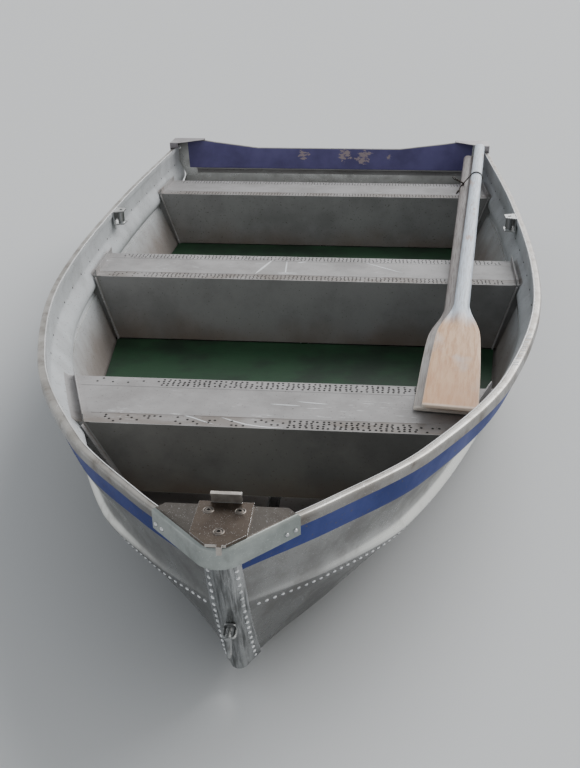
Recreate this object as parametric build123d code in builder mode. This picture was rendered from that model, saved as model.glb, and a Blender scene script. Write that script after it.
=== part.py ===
"""A small riveted aluminium rowing boat with a pair of wooden oars stowed in it.

Millimetres. The bow points to -Y, port is +X, and Z is 0 at the bottom of the
keel, which is what the boat stands on. Places along the boat are given as s,
the distance aft of the nose of the bow plate.
"""
import os
from math import cos, radians, sin, sqrt, tan

from build123d import *

os.makedirs("parts", exist_ok=True)

# Driving dimensions of the hull
length = 3050.0
half_beam = 704.0
sheer = 368.0               # top of the gunwale amidships
bow_lift = 57.0             # how much higher the sheer is at the stem
stern_lift = 6.0
knuckle_height = 216.0      # lower edge of the pressed ledge, amidships
knuckle_lift = 29.0         # how much it rises to the stem
wall = 2.5                  # hull sheet
fit = 0.3                   # clearance where one piece lies in or on another

# Gunwale, stripe and pressed side
gunwale_height = 22.0
gunwale_width = 20.0
gunwale_round = 9.0
gunwale_lip = 16.0          # inner leg of the extrusion
gunwale_web = 4.0
gunwale_joint = 1750.0      # its two lengths meet at the section nearest to this
side_inset = 12.0           # from the gunwale's outer face to the side sheet
stripe_height = 52.0
ledge_height = 30.0
ledge_depth = 18.0
ledge_full = 240.0          # breadth of the hull at which the ledge has its full size
ledge_return = 4.0
return_drop = 5.0
seam_lap = 26.0             # flange of the side sheet over the bottom sheet

# Keel, strakes and stringers
keel_width = 22.0
keel_depth = 22.0
keel_gap = 2.8              # from the keel bar to the bottom sheets
keel_top = 3.0              # what the bar stands above the sheets, inside
keel_rise_start = 470.0     # where the keel leaves the floor towards the bow
keel_aft_end = 84.0         # from the stern
keel_front = 4.0            # from the stem's foot to the bar's front edge
keel_front_low = 3.0        # the front edge starts this far below the stem's foot
strake_width = 26.0
strake_place = 300.0        # from the centre plane
strake_start = 900.0
strake_bevel = 70.0
strake_aft_end = 150.0      # from the stern
stringer_width = 34.0
stringer_start = 800.0
stringer_aft_end = 110.0    # from the stern

# Stem
stem_rake = 22.0
stem_top = 20.0
cap_panel = 45.0            # the stem's flat flanks run this far aft of the nose
cap_half_top = 28.5         # half breadth of the cap at its top and at its foot
cap_half_foot = 34.0
cap_wall = 2.0
cap_gap = 0.9
cap_top_round = 24.0
cap_foot_round = 12.0
cap_below_sheer = 8.0
stem_foot_height = 50.0
cap_steps = 4               # parts of the cap's leg between the lap's edge and the chine

# Inside: thwarts and floor
thwart_top = 270.0
thwart_width = 225.0
thwart_wall = 2.5
thwart_end_gap = 3.8        # from a thwart's top to the side
thwart_foot_gap = 12.0      # from its foot to the bottom sheet
flange_height = 20.0
floor_top = 64.0
floor_wall = 9.0
floor_gap = 4.0             # from a floor panel to the thwarts and the hull
floor_start = 330.0
floor_aft_end = 90.0        # from the stern
bearer_place = 520.0
bearer_width = 26.0
bearer_half = 120.0
middle_from_centre = 36.0   # front edge of the middle thwart, aft of the boat's middle
aft_from_stern = 489.0      # front edge of the aft thwart
# columns: thwart, place of its front edge, height of its foot
thwart_rows = [
    ("bow", 636.0, 98.0),
    ("middle", length / 2 + middle_from_centre, floor_top + 1),
    ("aft", length - aft_from_stern, floor_top + 1),
]

# Transom
transom_inset = 10.0        # from the stern's end to the transom's top
transom_wall = 3.0
transom_rake = -10.0
transom_dip = 12.0          # below the sheer
dip_half = 315.0
shoulder_rise = 18.0        # above the sheer
shoulder_length = 190.0
pad_wall = 12.0
pad_inset = 34.0
pad_drop = 3.0              # from the transom's top edge to the pad's
angle_half = 590.0
angle_leg = 22.0
angle_shelf = 28.0
angle_wall = 3.0

# Corner caps over the gunwales' aft ends
corner_reach = 110.0
corner_across = 135.0
corner_front = 36.0
corner_back = 34.0
corner_rise = 6.0           # above the transom's shoulders
corner_skirt = 14.0
corner_wall = 2.5
corner_gap = 1.0

# Bow plate and the base plate bolted on it
plate_wall = 3.0
plate_length = 110.0
plate_chamfer = 19.0
plate_tip = 96.0            # where the folded rim ends
plate_round = 44.0
plate_fold = 7.0            # outer radius of the rim's fold
rim_height = 38.0
rim_clearance = 0.5
base_wall = 5.0
base_half = 42.5
base_start = 2.0
base_end = 112.0
base_point = 15.0
base_shoulder = 29.0
bolt_half = 24.0
bolt_row = 87.0
bolt_front = 33.0
bolt_hole = 8.5
hook_half = 24.0
hook_height = 18.5
hook_lip = 8.0
hook_wall = 3.0
catch_centre = 6.0
catch_half = 4.0
catch_wall = 3.5
catch_drop = 9.0            # below the base plate's underside
catch_gap = 1.0             # from the nose of the bow plate

# Bow eye, a staple, and the shackle that hangs edge on from its bar
eye_height = 201.0
eye_reach = 22.0
eye_half = 9.0
eye_rod = 6.0
eye_round = 4.5
eye_base_width = 20.0
eye_base_height = 34.0
eye_base_wall = 3.0
eye_base_round = 6.0
eye_base_gap = 0.5
shackle_rod = 6.0
shackle_half = 7.5
shackle_drop = 46.0
shackle_bend = 0.5          # half of the straight at the bottom of its bow
shackle_pin = 7.0
shackle_boss = 10.5
shackle_eye = 7.0           # thickness of the bosses
pin_play = 0.5
pin_head = 5.0
pin_tail = 1.0

# Rowlock sockets, just aft of the middle thwart
rowlock_from_thwart = 174.0
socket_bore = 13.0
socket_outer = 22.0
socket_length = 46.0
socket_stand = 20.0         # from the bracket's back to the socket's axis
bracket_length = 62.0
bracket_wall = 4.0
bracket_nose = 15.0

# Oars
oar_shaft = 41.0
oar_handle = 39.0
oar_thickness = 38.0
blade_length = 535.0
blade_tip_half = 60.0
shoulder_half = 52.0
shoulder_place = 385.0
shoulder_waist = 34.0
waist_place = 470.0
blade_wall = 12.0
blade_corner = 6.0
shaft_taper_start = 320.0   # where the shaft's ridge begins on the blade
shaft_ridge = 14.0
rest_gap = 1.0
tip_from_thwart = 42.0      # upper blade's tip, aft of the bow thwart's front edge
upper_tip_x = 382.0
upper_tip_lift = 41.0       # its centre line above the thwart's top
lower_tip_x = 368.0
lower_tip_back = 50.0       # aft of the upper blade's tip
lower_handle_in = 43.0      # inboard of the upper handle's end, and below it
lower_handle_drop = 50.0
handle_from_cap = 10.0

bow_top = sheer + bow_lift
plate_top = bow_top + plate_wall
plate_apex = -plate_round * (sqrt(2) - 1)
thwart_places = {name: place for name, place, foot in thwart_rows}


def y_at(s):
    """Y of a place s aft of the nose."""
    return s - length / 2


def bow_breadth(s):
    """Outer half breadth of the gunwales under the bow plate's rim, which stands at 45 degrees."""
    return s - plate_apex - (plate_wall + rim_clearance) * sqrt(2)


# The hull's sections. The bow's are set by the bow plate that covers them.
# columns: s, rake, drop below the bow's top, knuckle, knuckle rise, chine, chine height, keel height
bow_sections = [
    (stem_top, stem_rake, 0.0, 24.0, 1.45, 14.5, 62.0, 50.0),
    (cap_panel, 21.2, 1.0, 50.0, 1.27, 24.5, 59.0, 49.0),
    (150.0, 17.0, 8.0, 153.0, 0.83, 63.0, 50.0, 42.0),
]
# In the body, places are shares of the length aft of the stem's panels, breadths are shares of
# the half beam, and heights are shares of the lifts.
# columns: share of length, rake, gunwale, sheer lift, knuckle, knuckle rise, chine, chine height, keel height
body_sections = [
    (0.100, 8.0, 0.462, 0.60, 0.413, 0.30, 0.217, 50.0, 33.0),
    (0.220, 3.0, 0.729, 0.24, 0.632, 0.05, 0.476, 49.0, 25.0),
    (0.399, 0.0, 0.926, 0.04, 0.880, 0.0, 0.790, 47.0, 22.0),
    (0.682, 0.0, 0.997, 0.0, 0.960, 0.0, 0.858, 45.0, 22.0),
]
stations = []
for s, rake, drop, knuckle, rise, chine, chine_z, keel_z in bow_sections:
    knuckle_z = knuckle_height + rise * knuckle_lift
    stations.append((s, rake, bow_breadth(s), bow_top - drop, knuckle, knuckle_z, chine, chine_z, keel_z))
for share, rake, gunwale, lift, knuckle, rise, chine, chine_z, keel_z in body_sections:
    stations.append((
        cap_panel + share * (length - cap_panel), rake, gunwale * half_beam, sheer + lift * bow_lift,
        knuckle * half_beam, knuckle_height + rise * knuckle_lift, chine * half_beam, chine_z, keel_z,
    ))
stations.append((
    length - transom_inset, transom_rake, 0.976 * half_beam, sheer + stern_lift,
    0.943 * half_beam, knuckle_height, 0.830 * half_beam, 46.0, 22.0,
))
eased_spacing = 40.0


def smooth_sections(rows):
    """Rows of the table with further rows eased in between them, closer together near the bow."""
    slopes = []
    for i in range(len(rows)):
        first, last = rows[max(i - 1, 0)], rows[min(i + 1, len(rows) - 1)]
        slopes.append([(b - a) / (last[0] - first[0]) for a, b in zip(first, last)])
    eased = []
    for i, (low, high) in enumerate(zip(rows, rows[1:])):
        span = high[0] - low[0]
        count = max(1, round(sqrt(span / eased_spacing)))
        for step in range(count):
            u = step / count
            eased.append(tuple(
                a * (1 + 2 * u) * (1 - u) ** 2 + b * u * u * (3 - 2 * u)
                + span * (m * u * (1 - u) ** 2 + n * u * u * (u - 1))
                for a, b, m, n in zip(low, high, slopes[i], slopes[i + 1])
            ))
    return eased + [rows[-1]]


sections = smooth_sections(stations)


def section_plane(station):
    """The plane of a section: X across, local y up along the rake, origin at the sheer."""
    s, rake, height = station[0], radians(station[1]), station[3]
    return Plane(origin=(0, y_at(s), height), x_dir=(1, 0, 0), z_dir=(0, -cos(rake), -sin(rake)))


def place_at(station, height):
    """Where along the boat a raked section passes a height."""
    return station[0] + (station[3] - height) * tan(radians(station[1]))


def flank(station):
    """Edge of the pressed ledge's return and the slope of the flank below it."""
    s, rake, gunwale, top, knuckle, knuckle_z, chine, chine_z, keel_z = station
    edge = knuckle - min(1, knuckle / ledge_full) * ledge_return
    low = knuckle_z - return_drop
    return edge, low, (edge - chine) / (low - chine_z)


def side_line(station):
    """Outer line of the side sheet in a section, from under the gunwale to the lap's edge."""
    s, rake, gunwale, top, knuckle, knuckle_z, chine, chine_z, keel_z = station
    face = gunwale - side_inset
    grow = min(1, knuckle / ledge_full)
    edge, low, slope = flank(station)
    return [
        (face, top - gunwale_web - 1),
        (face, top - gunwale_height),
        (face - 0.12 * (face - knuckle), top - gunwale_height - stripe_height),
        (knuckle - grow * ledge_depth, knuckle_z + ledge_height * (0.35 + 0.65 * grow)),
        (knuckle, knuckle_z),
        (edge, low),
        (edge - slope * (seam_lap - return_drop), knuckle_z - seam_lap),
    ]


def bottom_line(station):
    """Outer line of the bottom sheet in a section, from behind the lap to the keel."""
    s, rake, gunwale, top, knuckle, knuckle_z, chine, chine_z, keel_z = station
    edge, low, slope = flank(station)
    behind = (wall + 2 * fit) * sqrt(1 + slope * slope)
    return [
        (edge - slope * return_drop - behind, low - return_drop),
        (chine, chine_z),
        (keel_width / 2 + keel_gap, keel_z),
    ]


def moved_in(points, distance):
    """The same line moved inboard by a distance, with mitred corners."""
    moved = []
    for i, point in enumerate(points):
        here = Vector(*point)
        into = (here - Vector(*points[i - 1])).normalized() if i else None
        out = (Vector(*points[i + 1]) - here).normalized() if i + 1 < len(points) else None
        first, second = into or out, out or into
        normal = Vector(first.Y + second.Y, -first.X - second.X)
        scale = distance / (1 + first.X * second.X + first.Y * second.Y)
        moved.append((here.X + normal.X * scale, here.Y + normal.Y * scale))
    return moved


def in_plane(points, station):
    """Points given as breadth and height, in the section plane's own coordinates."""
    return [(x, (z - station[3]) / cos(radians(station[1]))) for x, z in points]


def across(points, height):
    """Breadth of a line at a height, or None where it doesn't reach that height."""
    for (x1, z1), (x2, z2) in zip(points, points[1:]):
        if min(z1, z2) <= height <= max(z1, z2) and z1 != z2:
            return x1 + (x2 - x1) * (height - z1) / (z2 - z1)
    return None


def breadth(line, s, height):
    """Inner half breadth of the hull at a place and height, by straight lines between sections."""
    found = []
    for station in sections:
        half = across(moved_in(line(station), wall), height)
        if half is not None:
            found.append((place_at(station, height), half))
    for (s1, x1), (s2, x2) in zip(found, found[1:]):
        if s1 <= s <= s2:
            return x1 + (x2 - x1) * (s - s1) / (s2 - s1)
    return found[-1][1]


def gunwale_edge(s):
    """Outer half breadth of the gunwale at a place."""
    for low, high in zip(sections, sections[1:]):
        if low[0] <= s <= high[0]:
            return low[2] + (high[2] - low[2]) * (s - low[0]) / (high[0] - low[0])
    return sections[-1][2]


def finish(piece, name):
    """Label a finished piece and write it to its file."""
    piece.part.label = name
    export_step(piece.part, f"parts/{name}.step")
    return piece


def both_sides(piece, name):
    """Write a port piece and its mirrored starboard twin."""
    finish(piece, f"{name}_port")
    with BuildPart() as twin:
        mirror(piece.part, about=Plane.YZ)
    return finish(twin, f"{name}_starboard")


def sheet(line):
    """A hull sheet, lofted through the sections of its outer line."""
    with BuildPart() as piece:
        for station in sections:
            outer = line(station)
            with BuildSketch(section_plane(station)):
                with BuildLine():
                    Polyline(*in_plane(outer + moved_in(outer, wall)[::-1], station), close=True)
                make_face()
        loft(ruled=True)
    return piece


both_sides(sheet(side_line), "side")
bottom = sheet(bottom_line)
both_sides(bottom, "bottom")

# Gunwale extrusions, hooked over the side sheets, in a fore and an aft length
joint = min(range(len(sections)), key=lambda i: abs(sections[i][0] - gunwale_joint))
for name, rows in (("gunwale_fore", sections[1:joint + 1]), ("gunwale_aft", sections[joint:])):
    with BuildPart() as gunwale_rail:
        for station in rows:
            edge = station[2]
            slot_in = edge - side_inset - wall - fit
            slot_out = edge - side_inset + fit
            with BuildSketch(section_plane(station)):
                with BuildLine():
                    Polyline(
                        (edge - gunwale_round, 0),
                        (edge - gunwale_width, 0),
                        (edge - gunwale_width, -gunwale_lip),
                        (slot_in, -gunwale_lip),
                        (slot_in, -gunwale_web),
                        (slot_out, -gunwale_web),
                        (slot_out, -gunwale_height),
                        (edge, -gunwale_height),
                        (edge, -gunwale_round),
                    )
                    RadiusArc((edge, -gunwale_round), (edge - gunwale_round, 0), -gunwale_round)
                make_face()
        loft(ruled=True)
    both_sides(gunwale_rail, name)

# Keel bar, from the stem's foot to the transom, its upper edge just above the bottom sheets
foot_s = stem_top + (bow_top - stem_foot_height) * tan(radians(stem_rake))
keel_end = length - keel_aft_end
keel_rows = [(place_at(station, station[8]), station[8] + wall + keel_top) for station in sections]
keel_line = [(y_at(s), z) for s, z in keel_rows if foot_s + 20 < s < keel_end]
with BuildPart() as keel:
    with BuildSketch(Plane.YZ):
        with BuildLine():
            Polyline(
                (y_at(foot_s + 1.5 * keel_front), stem_foot_height + keel_front),
                (y_at(foot_s + keel_front), stem_foot_height - keel_front_low),
                (y_at((foot_s + keel_rise_start) / 2), keel_depth / 2),
                (y_at(keel_rise_start), 0),
                (y_at(keel_end), 0),
                (y_at(keel_end), keel_depth + wall + keel_top),
                *keel_line[::-1],
                close=True,
            )
        make_face()
    extrude(amount=keel_width / 2, both=True)
finish(keel, "keel")


def side_bar(outline, width, pick):
    """A bar beside the keel, cut by the bottom sheet, of which the highest or lowest piece stays."""
    with BuildPart() as blank:
        with BuildSketch(Plane.YZ.offset(strake_place)):
            with BuildLine():
                Polyline(*outline, close=True)
            make_face()
        extrude(amount=width / 2, both=True)
        add(bottom.part, mode=Mode.SUBTRACT)
    with BuildPart() as bar:
        add(blank.solids().sort_by(Axis.Z)[pick])
    return bar


# Bottom strakes, level with the keel, and the floor's stringers above the sheets
strake_end = length - strake_aft_end
both_sides(side_bar([
    (y_at(strake_start), keel_depth),
    (y_at(strake_start + strake_bevel), 0),
    (y_at(strake_end), 0),
    (y_at(strake_end), 2 * keel_depth),
    (y_at(strake_start), 2 * keel_depth),
], strake_width, 0), "strake")

floor_low = floor_top - floor_wall
stringer_end = length - stringer_aft_end
both_sides(side_bar([
    (y_at(stringer_start), floor_low),
    (y_at(stringer_end), floor_low),
    (y_at(stringer_end), keel_depth),
    (y_at(stringer_start), keel_depth),
], stringer_width, -1), "stringer")

# Cross bearer under the bow floor panel
with BuildPart() as bearer_blank:
    with BuildSketch(Plane.XZ.offset(-y_at(bearer_place))):
        with Locations((0, (keel_depth + floor_low) / 2)):
            Rectangle(2 * bearer_half, floor_low - keel_depth)
    extrude(amount=-bearer_width)
    add(bottom.part, mode=Mode.SUBTRACT)
    mirror(bottom.part, about=Plane.YZ, mode=Mode.SUBTRACT)
    add(keel.part, mode=Mode.SUBTRACT)
with BuildPart() as bearer:
    add(bearer_blank.solids().sort_by(Axis.Z)[-1])
finish(bearer, "floor_bearer")


# Box thwarts: an upturned channel whose ends follow the hull, with turned-up end flanges
def thwart_half(s):
    """Half length of a thwart's top, clear of the side sheets over the flange's height."""
    heights = (thwart_top - flange_height / 2, thwart_top, thwart_top + flange_height)
    return min(breadth(side_line, s, z) for z in heights) - thwart_end_gap


for name, place, foot in thwart_rows:
    ends = (place, place + thwart_width)
    with BuildPart() as thwart:
        for s in ends:
            top_half = thwart_half(s)
            foot_half = breadth(bottom_line, s, foot) - thwart_foot_gap
            with BuildSketch(Plane.XZ.offset(-y_at(s))):
                with BuildLine():
                    Polyline(
                        (-top_half, thwart_top),
                        (top_half, thwart_top),
                        (foot_half, foot),
                        (-foot_half, foot),
                        close=True,
                    )
                make_face()
        loft()
        with BuildSketch(Plane.YZ):
            with Locations((y_at(place + thwart_width / 2), (thwart_top - thwart_wall) / 2)):
                Rectangle(thwart_width - 2 * thwart_wall, thwart_top - thwart_wall)
        extrude(amount=half_beam, both=True, mode=Mode.SUBTRACT)
        front, back = (thwart_half(s) for s in ends)
        for hand in (-1, 1):
            with BuildSketch(Plane.XY.offset(thwart_top - thwart_wall)):
                with BuildLine():
                    Polyline(
                        (hand * (front - thwart_wall), y_at(ends[0])),
                        (hand * front, y_at(ends[0])),
                        (hand * back, y_at(ends[1])),
                        (hand * (back - thwart_wall), y_at(ends[1])),
                        close=True,
                    )
                make_face()
            extrude(amount=flange_height + thwart_wall)
    finish(thwart, f"thwart_{name}")

# Floor panels between the thwarts
floor_edges = [floor_start]
for place in thwart_places.values():
    floor_edges += [place - floor_gap, place + thwart_width + floor_gap]
floor_edges.append(length - floor_aft_end)
for name, front, back in zip(("bow", "middle", "aft", "stern"), floor_edges[::2], floor_edges[1::2]):
    with BuildPart() as floor:
        with BuildSketch(Plane.XY.offset(floor_low)):
            with BuildLine():
                outline = [
                    (breadth(bottom_line, s, floor_low) - floor_gap, y_at(s))
                    for s in (front, (front + back) / 2, back)
                ]
                Polyline(*outline, *[(-x, y) for x, y in outline[::-1]], close=True)
            make_face()
        extrude(amount=floor_wall)
    finish(floor, f"floor_{name}")

# Transom, inside the aft ends of the sheets
aft_station = stations[-1]
aft_plane = section_plane(aft_station)
aft_side = in_plane(moved_in(side_line(aft_station), wall + fit), aft_station)
aft_bottom = in_plane(moved_in(bottom_line(aft_station), wall + fit), aft_station)
shoulder_end = aft_station[2] - gunwale_width - fit - 1
top_line = [
    (0, -transom_dip),
    (dip_half, -transom_dip),
    (shoulder_end - shoulder_length + 30, shoulder_rise * 0.6),
    (shoulder_end - shoulder_length + 80, shoulder_rise),
]
with BuildPart() as transom:
    with BuildSketch(aft_plane):
        with BuildLine():
            half = top_line + [(shoulder_end, shoulder_rise), (shoulder_end, -gunwale_lip - 2)]
            half += [(aft_side[1][0], -gunwale_lip - 6)] + aft_side[1:4]
            half += [(aft_bottom[0][0], aft_side[4][1]), aft_bottom[0], aft_bottom[1], aft_bottom[2]]
            half.append((0, aft_bottom[2][1] + keel_top))
            Polyline(*half, *[(-x, y) for x, y in half[-2:0:-1]], close=True)
        make_face()
    extrude(amount=transom_wall)
finish(transom, "transom")

# Inner pad of the transom and the angle under it
inner_plane = aft_plane.offset(transom_wall + fit)
pad_foot = (thwart_top + 4 - aft_station[3]) / cos(radians(transom_rake))
with BuildPart() as transom_pad:
    with BuildSketch(inner_plane):
        with BuildLine():
            half = [(x, y - pad_drop) for x, y in top_line]
            half.append((shoulder_end - pad_inset, shoulder_rise - pad_drop))
            half.append((shoulder_end - pad_inset - 10, pad_foot))
            Polyline(*half, *[(-x, y) for x, y in half[:0:-1]], close=True)
        make_face()
    extrude(amount=pad_wall)
finish(transom_pad, "transom_pad")

with BuildPart() as transom_angle:
    with BuildSketch(inner_plane):
        with Locations((0, pad_foot - 1 - angle_leg / 2)):
            Rectangle(2 * angle_half, angle_leg)
    extrude(amount=angle_wall)
    with BuildSketch(inner_plane):
        with Locations((0, pad_foot - 1 - angle_wall / 2)):
            Rectangle(2 * angle_half, angle_wall)
    extrude(amount=angle_shelf)
finish(transom_angle, "transom_angle")

# Corner caps over the gunwales' aft ends
corner_low = sheer + stern_lift - corner_skirt
corner_high = sheer + stern_lift + shoulder_rise + corner_rise
with BuildPart() as corner_cap:
    aft_edge = gunwale_edge(length) + corner_gap + corner_wall
    fore_edge = gunwale_edge(length - corner_reach) + corner_gap + corner_wall
    with BuildSketch(Plane.XY.offset(corner_high - corner_wall)):
        with BuildLine():
            Polyline(
                (aft_edge, y_at(length)),
                (fore_edge, y_at(length - corner_reach)),
                (fore_edge - corner_front, y_at(length - corner_reach)),
                (aft_edge - corner_across, y_at(length - corner_back)),
                (aft_edge - corner_across, y_at(length)),
                close=True,
            )
        make_face()
    extrude(amount=corner_wall)
    with BuildSketch(Plane.XY.offset(corner_low)):
        with BuildLine():
            Polyline(
                (aft_edge, y_at(length)),
                (fore_edge, y_at(length - corner_reach)),
                (fore_edge - corner_wall, y_at(length - corner_reach)),
                (aft_edge - corner_wall, y_at(length) - corner_wall),
                (aft_edge - corner_across, y_at(length) - corner_wall),
                (aft_edge - corner_across, y_at(length)),
                close=True,
            )
        make_face()
    extrude(amount=corner_high - corner_low)
    with BuildSketch(Plane.XY.offset(sheer + stern_lift + corner_gap)):
        with BuildLine():
            Polyline(
                (fore_edge, y_at(length - corner_reach)),
                (fore_edge - corner_front, y_at(length - corner_reach)),
                (fore_edge - corner_front, y_at(length - corner_reach) + corner_wall),
                (fore_edge, y_at(length - corner_reach) + corner_wall),
                close=True,
            )
        make_face()
    extrude(amount=corner_high - sheer - stern_lift - corner_gap)
both_sides(corner_cap, "corner_cap")


# Stem cap: a plate folded round the stem, with a leg on each bow
def hull_outside(station, height):
    """Outer half breadth of the sheets in a section at a height."""
    points = side_line(station) + bottom_line(station)[1:]
    half = across(points, height)
    return points[0][0] if half is None else half


def cap_outline(height, corner, grow):
    """Half the cap's line at a height, moved out from the sheets: leg end, apex and corner radius."""
    (x0, y0), (x1, y1) = (
        (hull_outside(station, height), y_at(place_at(station, height))) for station in stations[:2]
    )
    slope = (x1 - x0) / (y1 - y0)
    apex = y0 - (x0 + grow * sqrt(1 + slope * slope)) / slope
    leg = cap_half_foot + (cap_half_top - cap_half_foot) * (height - stem_foot_height) / (bow_top - stem_foot_height)
    return (leg, apex + leg / slope), (0, apex), corner + grow


def cap_corner(height):
    """Radius inside the fold, wide at the top and tight at the foot."""
    share = (bow_top - height) / (bow_top - stem_foot_height)
    return cap_top_round + (cap_foot_round - cap_top_round) * share


side_corners, chine_corner = side_line(stations[1]), bottom_line(stations[1])[1]
lap_low, chine_low = side_corners[6][1], chine_corner[1]
cap_heights = [bow_top - cap_below_sheer] + [z for x, z in side_corners[1:5]]
cap_heights += [lap_low + (chine_low - lap_low) * step / cap_steps for step in range(cap_steps + 1)]
with BuildPart() as stem_cap:
    for height in cap_heights:
        (xo, yo), (_, apex_out), round_out = cap_outline(height, cap_corner(height), cap_wall + cap_gap)
        (xi, yi), (_, apex_in), round_in = cap_outline(height, cap_corner(height), cap_gap)
        with BuildSketch(Plane.XY.offset(height)):
            with BuildLine():
                FilletPolyline((xo, yo), (0, apex_out), (-xo, yo), radius=round_out)
                Line((-xo, yo), (-xi, yi))
                FilletPolyline((-xi, yi), (0, apex_in), (xi, yi), radius=round_in)
                Line((xi, yi), (xo, yo))
            make_face()
    loft(ruled=True)
finish(stem_cap, "stem_cap")

# Bow plate with its folded rim
tip_half = plate_tip - plate_apex
aft_half = tip_half - plate_chamfer
bolt_places = [(-bolt_half, y_at(bolt_row)), (bolt_half, y_at(bolt_row)), (0, y_at(bolt_front))]


def nose_block(inset, low, high):
    """The nose's arrow-shaped block with a rounded top edge, all its faces moved in by an inset."""
    half = tip_half - inset * sqrt(2)
    tip, apex = y_at(plate_tip), y_at(plate_apex + inset * sqrt(2))
    with BuildPart() as block:
        with BuildSketch(Plane.XY.offset(low)):
            with BuildLine():
                FilletPolyline((-half, tip), (0, apex), (half, tip), radius=plate_round - inset)
                Line((half, tip), (-half, tip))
            make_face()
        extrude(amount=high - low)
        front = block.edges().group_by(Axis.Z)[-1].sort_by(Axis.Y)[:-1]
        fillet(front, radius=plate_fold - inset)
    return block


with BuildPart() as bow_plate:
    add(nose_block(0, plate_top - rim_height, plate_top).part)
    add(nose_block(plate_wall, plate_top - rim_height, plate_top - plate_wall).part, mode=Mode.SUBTRACT)
    with BuildSketch(Plane.XY.offset(plate_top - plate_wall)):
        with BuildLine():
            Polyline(
                (tip_half - 2 * plate_fold, y_at(plate_tip - plate_fold)),
                (tip_half - plate_fold, y_at(plate_tip)),
                (aft_half, y_at(plate_length)),
                (-aft_half, y_at(plate_length)),
                (plate_fold - tip_half, y_at(plate_tip)),
                (2 * plate_fold - tip_half, y_at(plate_tip - plate_fold)),
                close=True,
            )
        make_face()
    extrude(amount=plate_wall)
    with Locations(*[(x, y, plate_top) for x, y in bolt_places]):
        Hole(bolt_hole / 2, depth=plate_wall)
finish(bow_plate, "bow_plate")

# Base plate bolted on the bow plate, with its standing hook and its front catch
base_low = plate_top + fit
base_high = base_low + base_wall
with BuildPart() as base_plate:
    with BuildSketch(Plane.XY.offset(base_low)):
        with BuildLine():
            Polyline(
                (base_half, y_at(base_end)),
                (base_half, y_at(base_shoulder)),
                (base_point, y_at(base_start)),
                (-base_point, y_at(base_start)),
                (-base_half, y_at(base_shoulder)),
                (-base_half, y_at(base_end)),
                close=True,
            )
        make_face()
    extrude(amount=base_wall)
    with Locations(*[(x, y, base_high) for x, y in bolt_places]):
        Hole(bolt_hole / 2, depth=base_wall)
    hook_back, hook_top = y_at(base_end), base_high + hook_height
    with BuildSketch(Plane.YZ):
        with BuildLine():
            Polyline(
                (hook_back, base_low),
                (hook_back, hook_top),
                (hook_back - hook_lip, hook_top),
                (hook_back - hook_lip, hook_top - hook_wall),
                (hook_back - hook_wall, hook_top - hook_wall),
                (hook_back - hook_wall, base_low),
                close=True,
            )
        make_face()
    extrude(amount=hook_half, both=True)
    catch_back = y_at(-catch_gap)
    with BuildSketch(Plane.YZ.offset(catch_centre)):
        with BuildLine():
            Polyline(
                (y_at(base_start + 1), base_high),
                (catch_back - catch_wall, base_high),
                (catch_back - catch_wall, base_low - catch_drop),
                (catch_back, base_low - catch_drop),
                (catch_back, base_low),
                (y_at(base_start + 1), base_low),
                close=True,
            )
        make_face()
    extrude(amount=catch_half, both=True)
finish(base_plate, "base_plate")

# Bow eye on the stem cap: a base and a staple whose bar lies across
def cap_nose(height):
    """Y of the cap's rounded nose at a height."""
    (leg_x, leg_y), (_, apex), corner = cap_outline(height, cap_corner(height), cap_wall + cap_gap)
    slope = leg_x / (leg_y - apex)
    return apex + corner * (sqrt(1 + slope * slope) / slope - 1)


eye_low, eye_high = eye_height - eye_base_height / 2, eye_height + eye_base_height / 2
eye_rake = (cap_nose(eye_low) - cap_nose(eye_high)) / eye_base_height
eye_face = cap_nose(eye_low) - eye_rake * eye_base_height / 2 - eye_base_gap
eye_plane = Plane(origin=(0, eye_face, eye_height), x_dir=(1, 0, 0), z_dir=(0, -1, -eye_rake))
bar_y = eye_face - eye_reach
with BuildPart() as bow_eye:
    with BuildSketch(eye_plane):
        RectangleRounded(eye_base_width, eye_base_height, eye_base_round)
    extrude(amount=eye_base_wall)
    with BuildLine():
        FilletPolyline(
            (eye_half, eye_face - 1, eye_height),
            (eye_half, bar_y, eye_height),
            (-eye_half, bar_y, eye_height),
            (-eye_half, eye_face - 1, eye_height),
            radius=eye_round,
        )
    with BuildSketch(Plane(origin=(eye_half, eye_face - 1, eye_height), z_dir=(0, -1, 0))):
        Circle(eye_rod / 2)
    sweep()
finish(bow_eye, "bow_eye")

# Shackle: its pin lies fore and aft on the staple's bar, its bow hangs below
pin_z = eye_height + eye_rod / 2 + pin_play + shackle_pin / 2
with BuildPart() as shackle:
    with BuildLine():
        FilletPolyline(
            (0, bar_y - shackle_half, pin_z),
            (0, bar_y - shackle_half, pin_z - shackle_drop),
            (0, bar_y + shackle_half, pin_z - shackle_drop),
            (0, bar_y + shackle_half, pin_z),
            radius=shackle_half - shackle_bend,
        )
    with BuildSketch(Plane(origin=(0, bar_y - shackle_half, pin_z), z_dir=(0, 0, -1))):
        Circle(shackle_rod / 2)
    sweep()
    pin_front = bar_y - shackle_half - shackle_eye / 2 - pin_head
    pin_back = bar_y + shackle_half + shackle_eye / 2 + pin_tail
    with BuildSketch(Plane(origin=(0, pin_front, pin_z), z_dir=(0, 1, 0))):
        Circle(shackle_pin / 2)
    extrude(amount=pin_back - pin_front)
    for end in (-1, 1):
        limb = bar_y + end * shackle_half - shackle_eye / 2
        with BuildSketch(Plane(origin=(0, limb, pin_z), z_dir=(0, 1, 0))):
            Circle(shackle_boss / 2)
        extrude(amount=shackle_eye)
finish(shackle, "bow_shackle")

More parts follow.
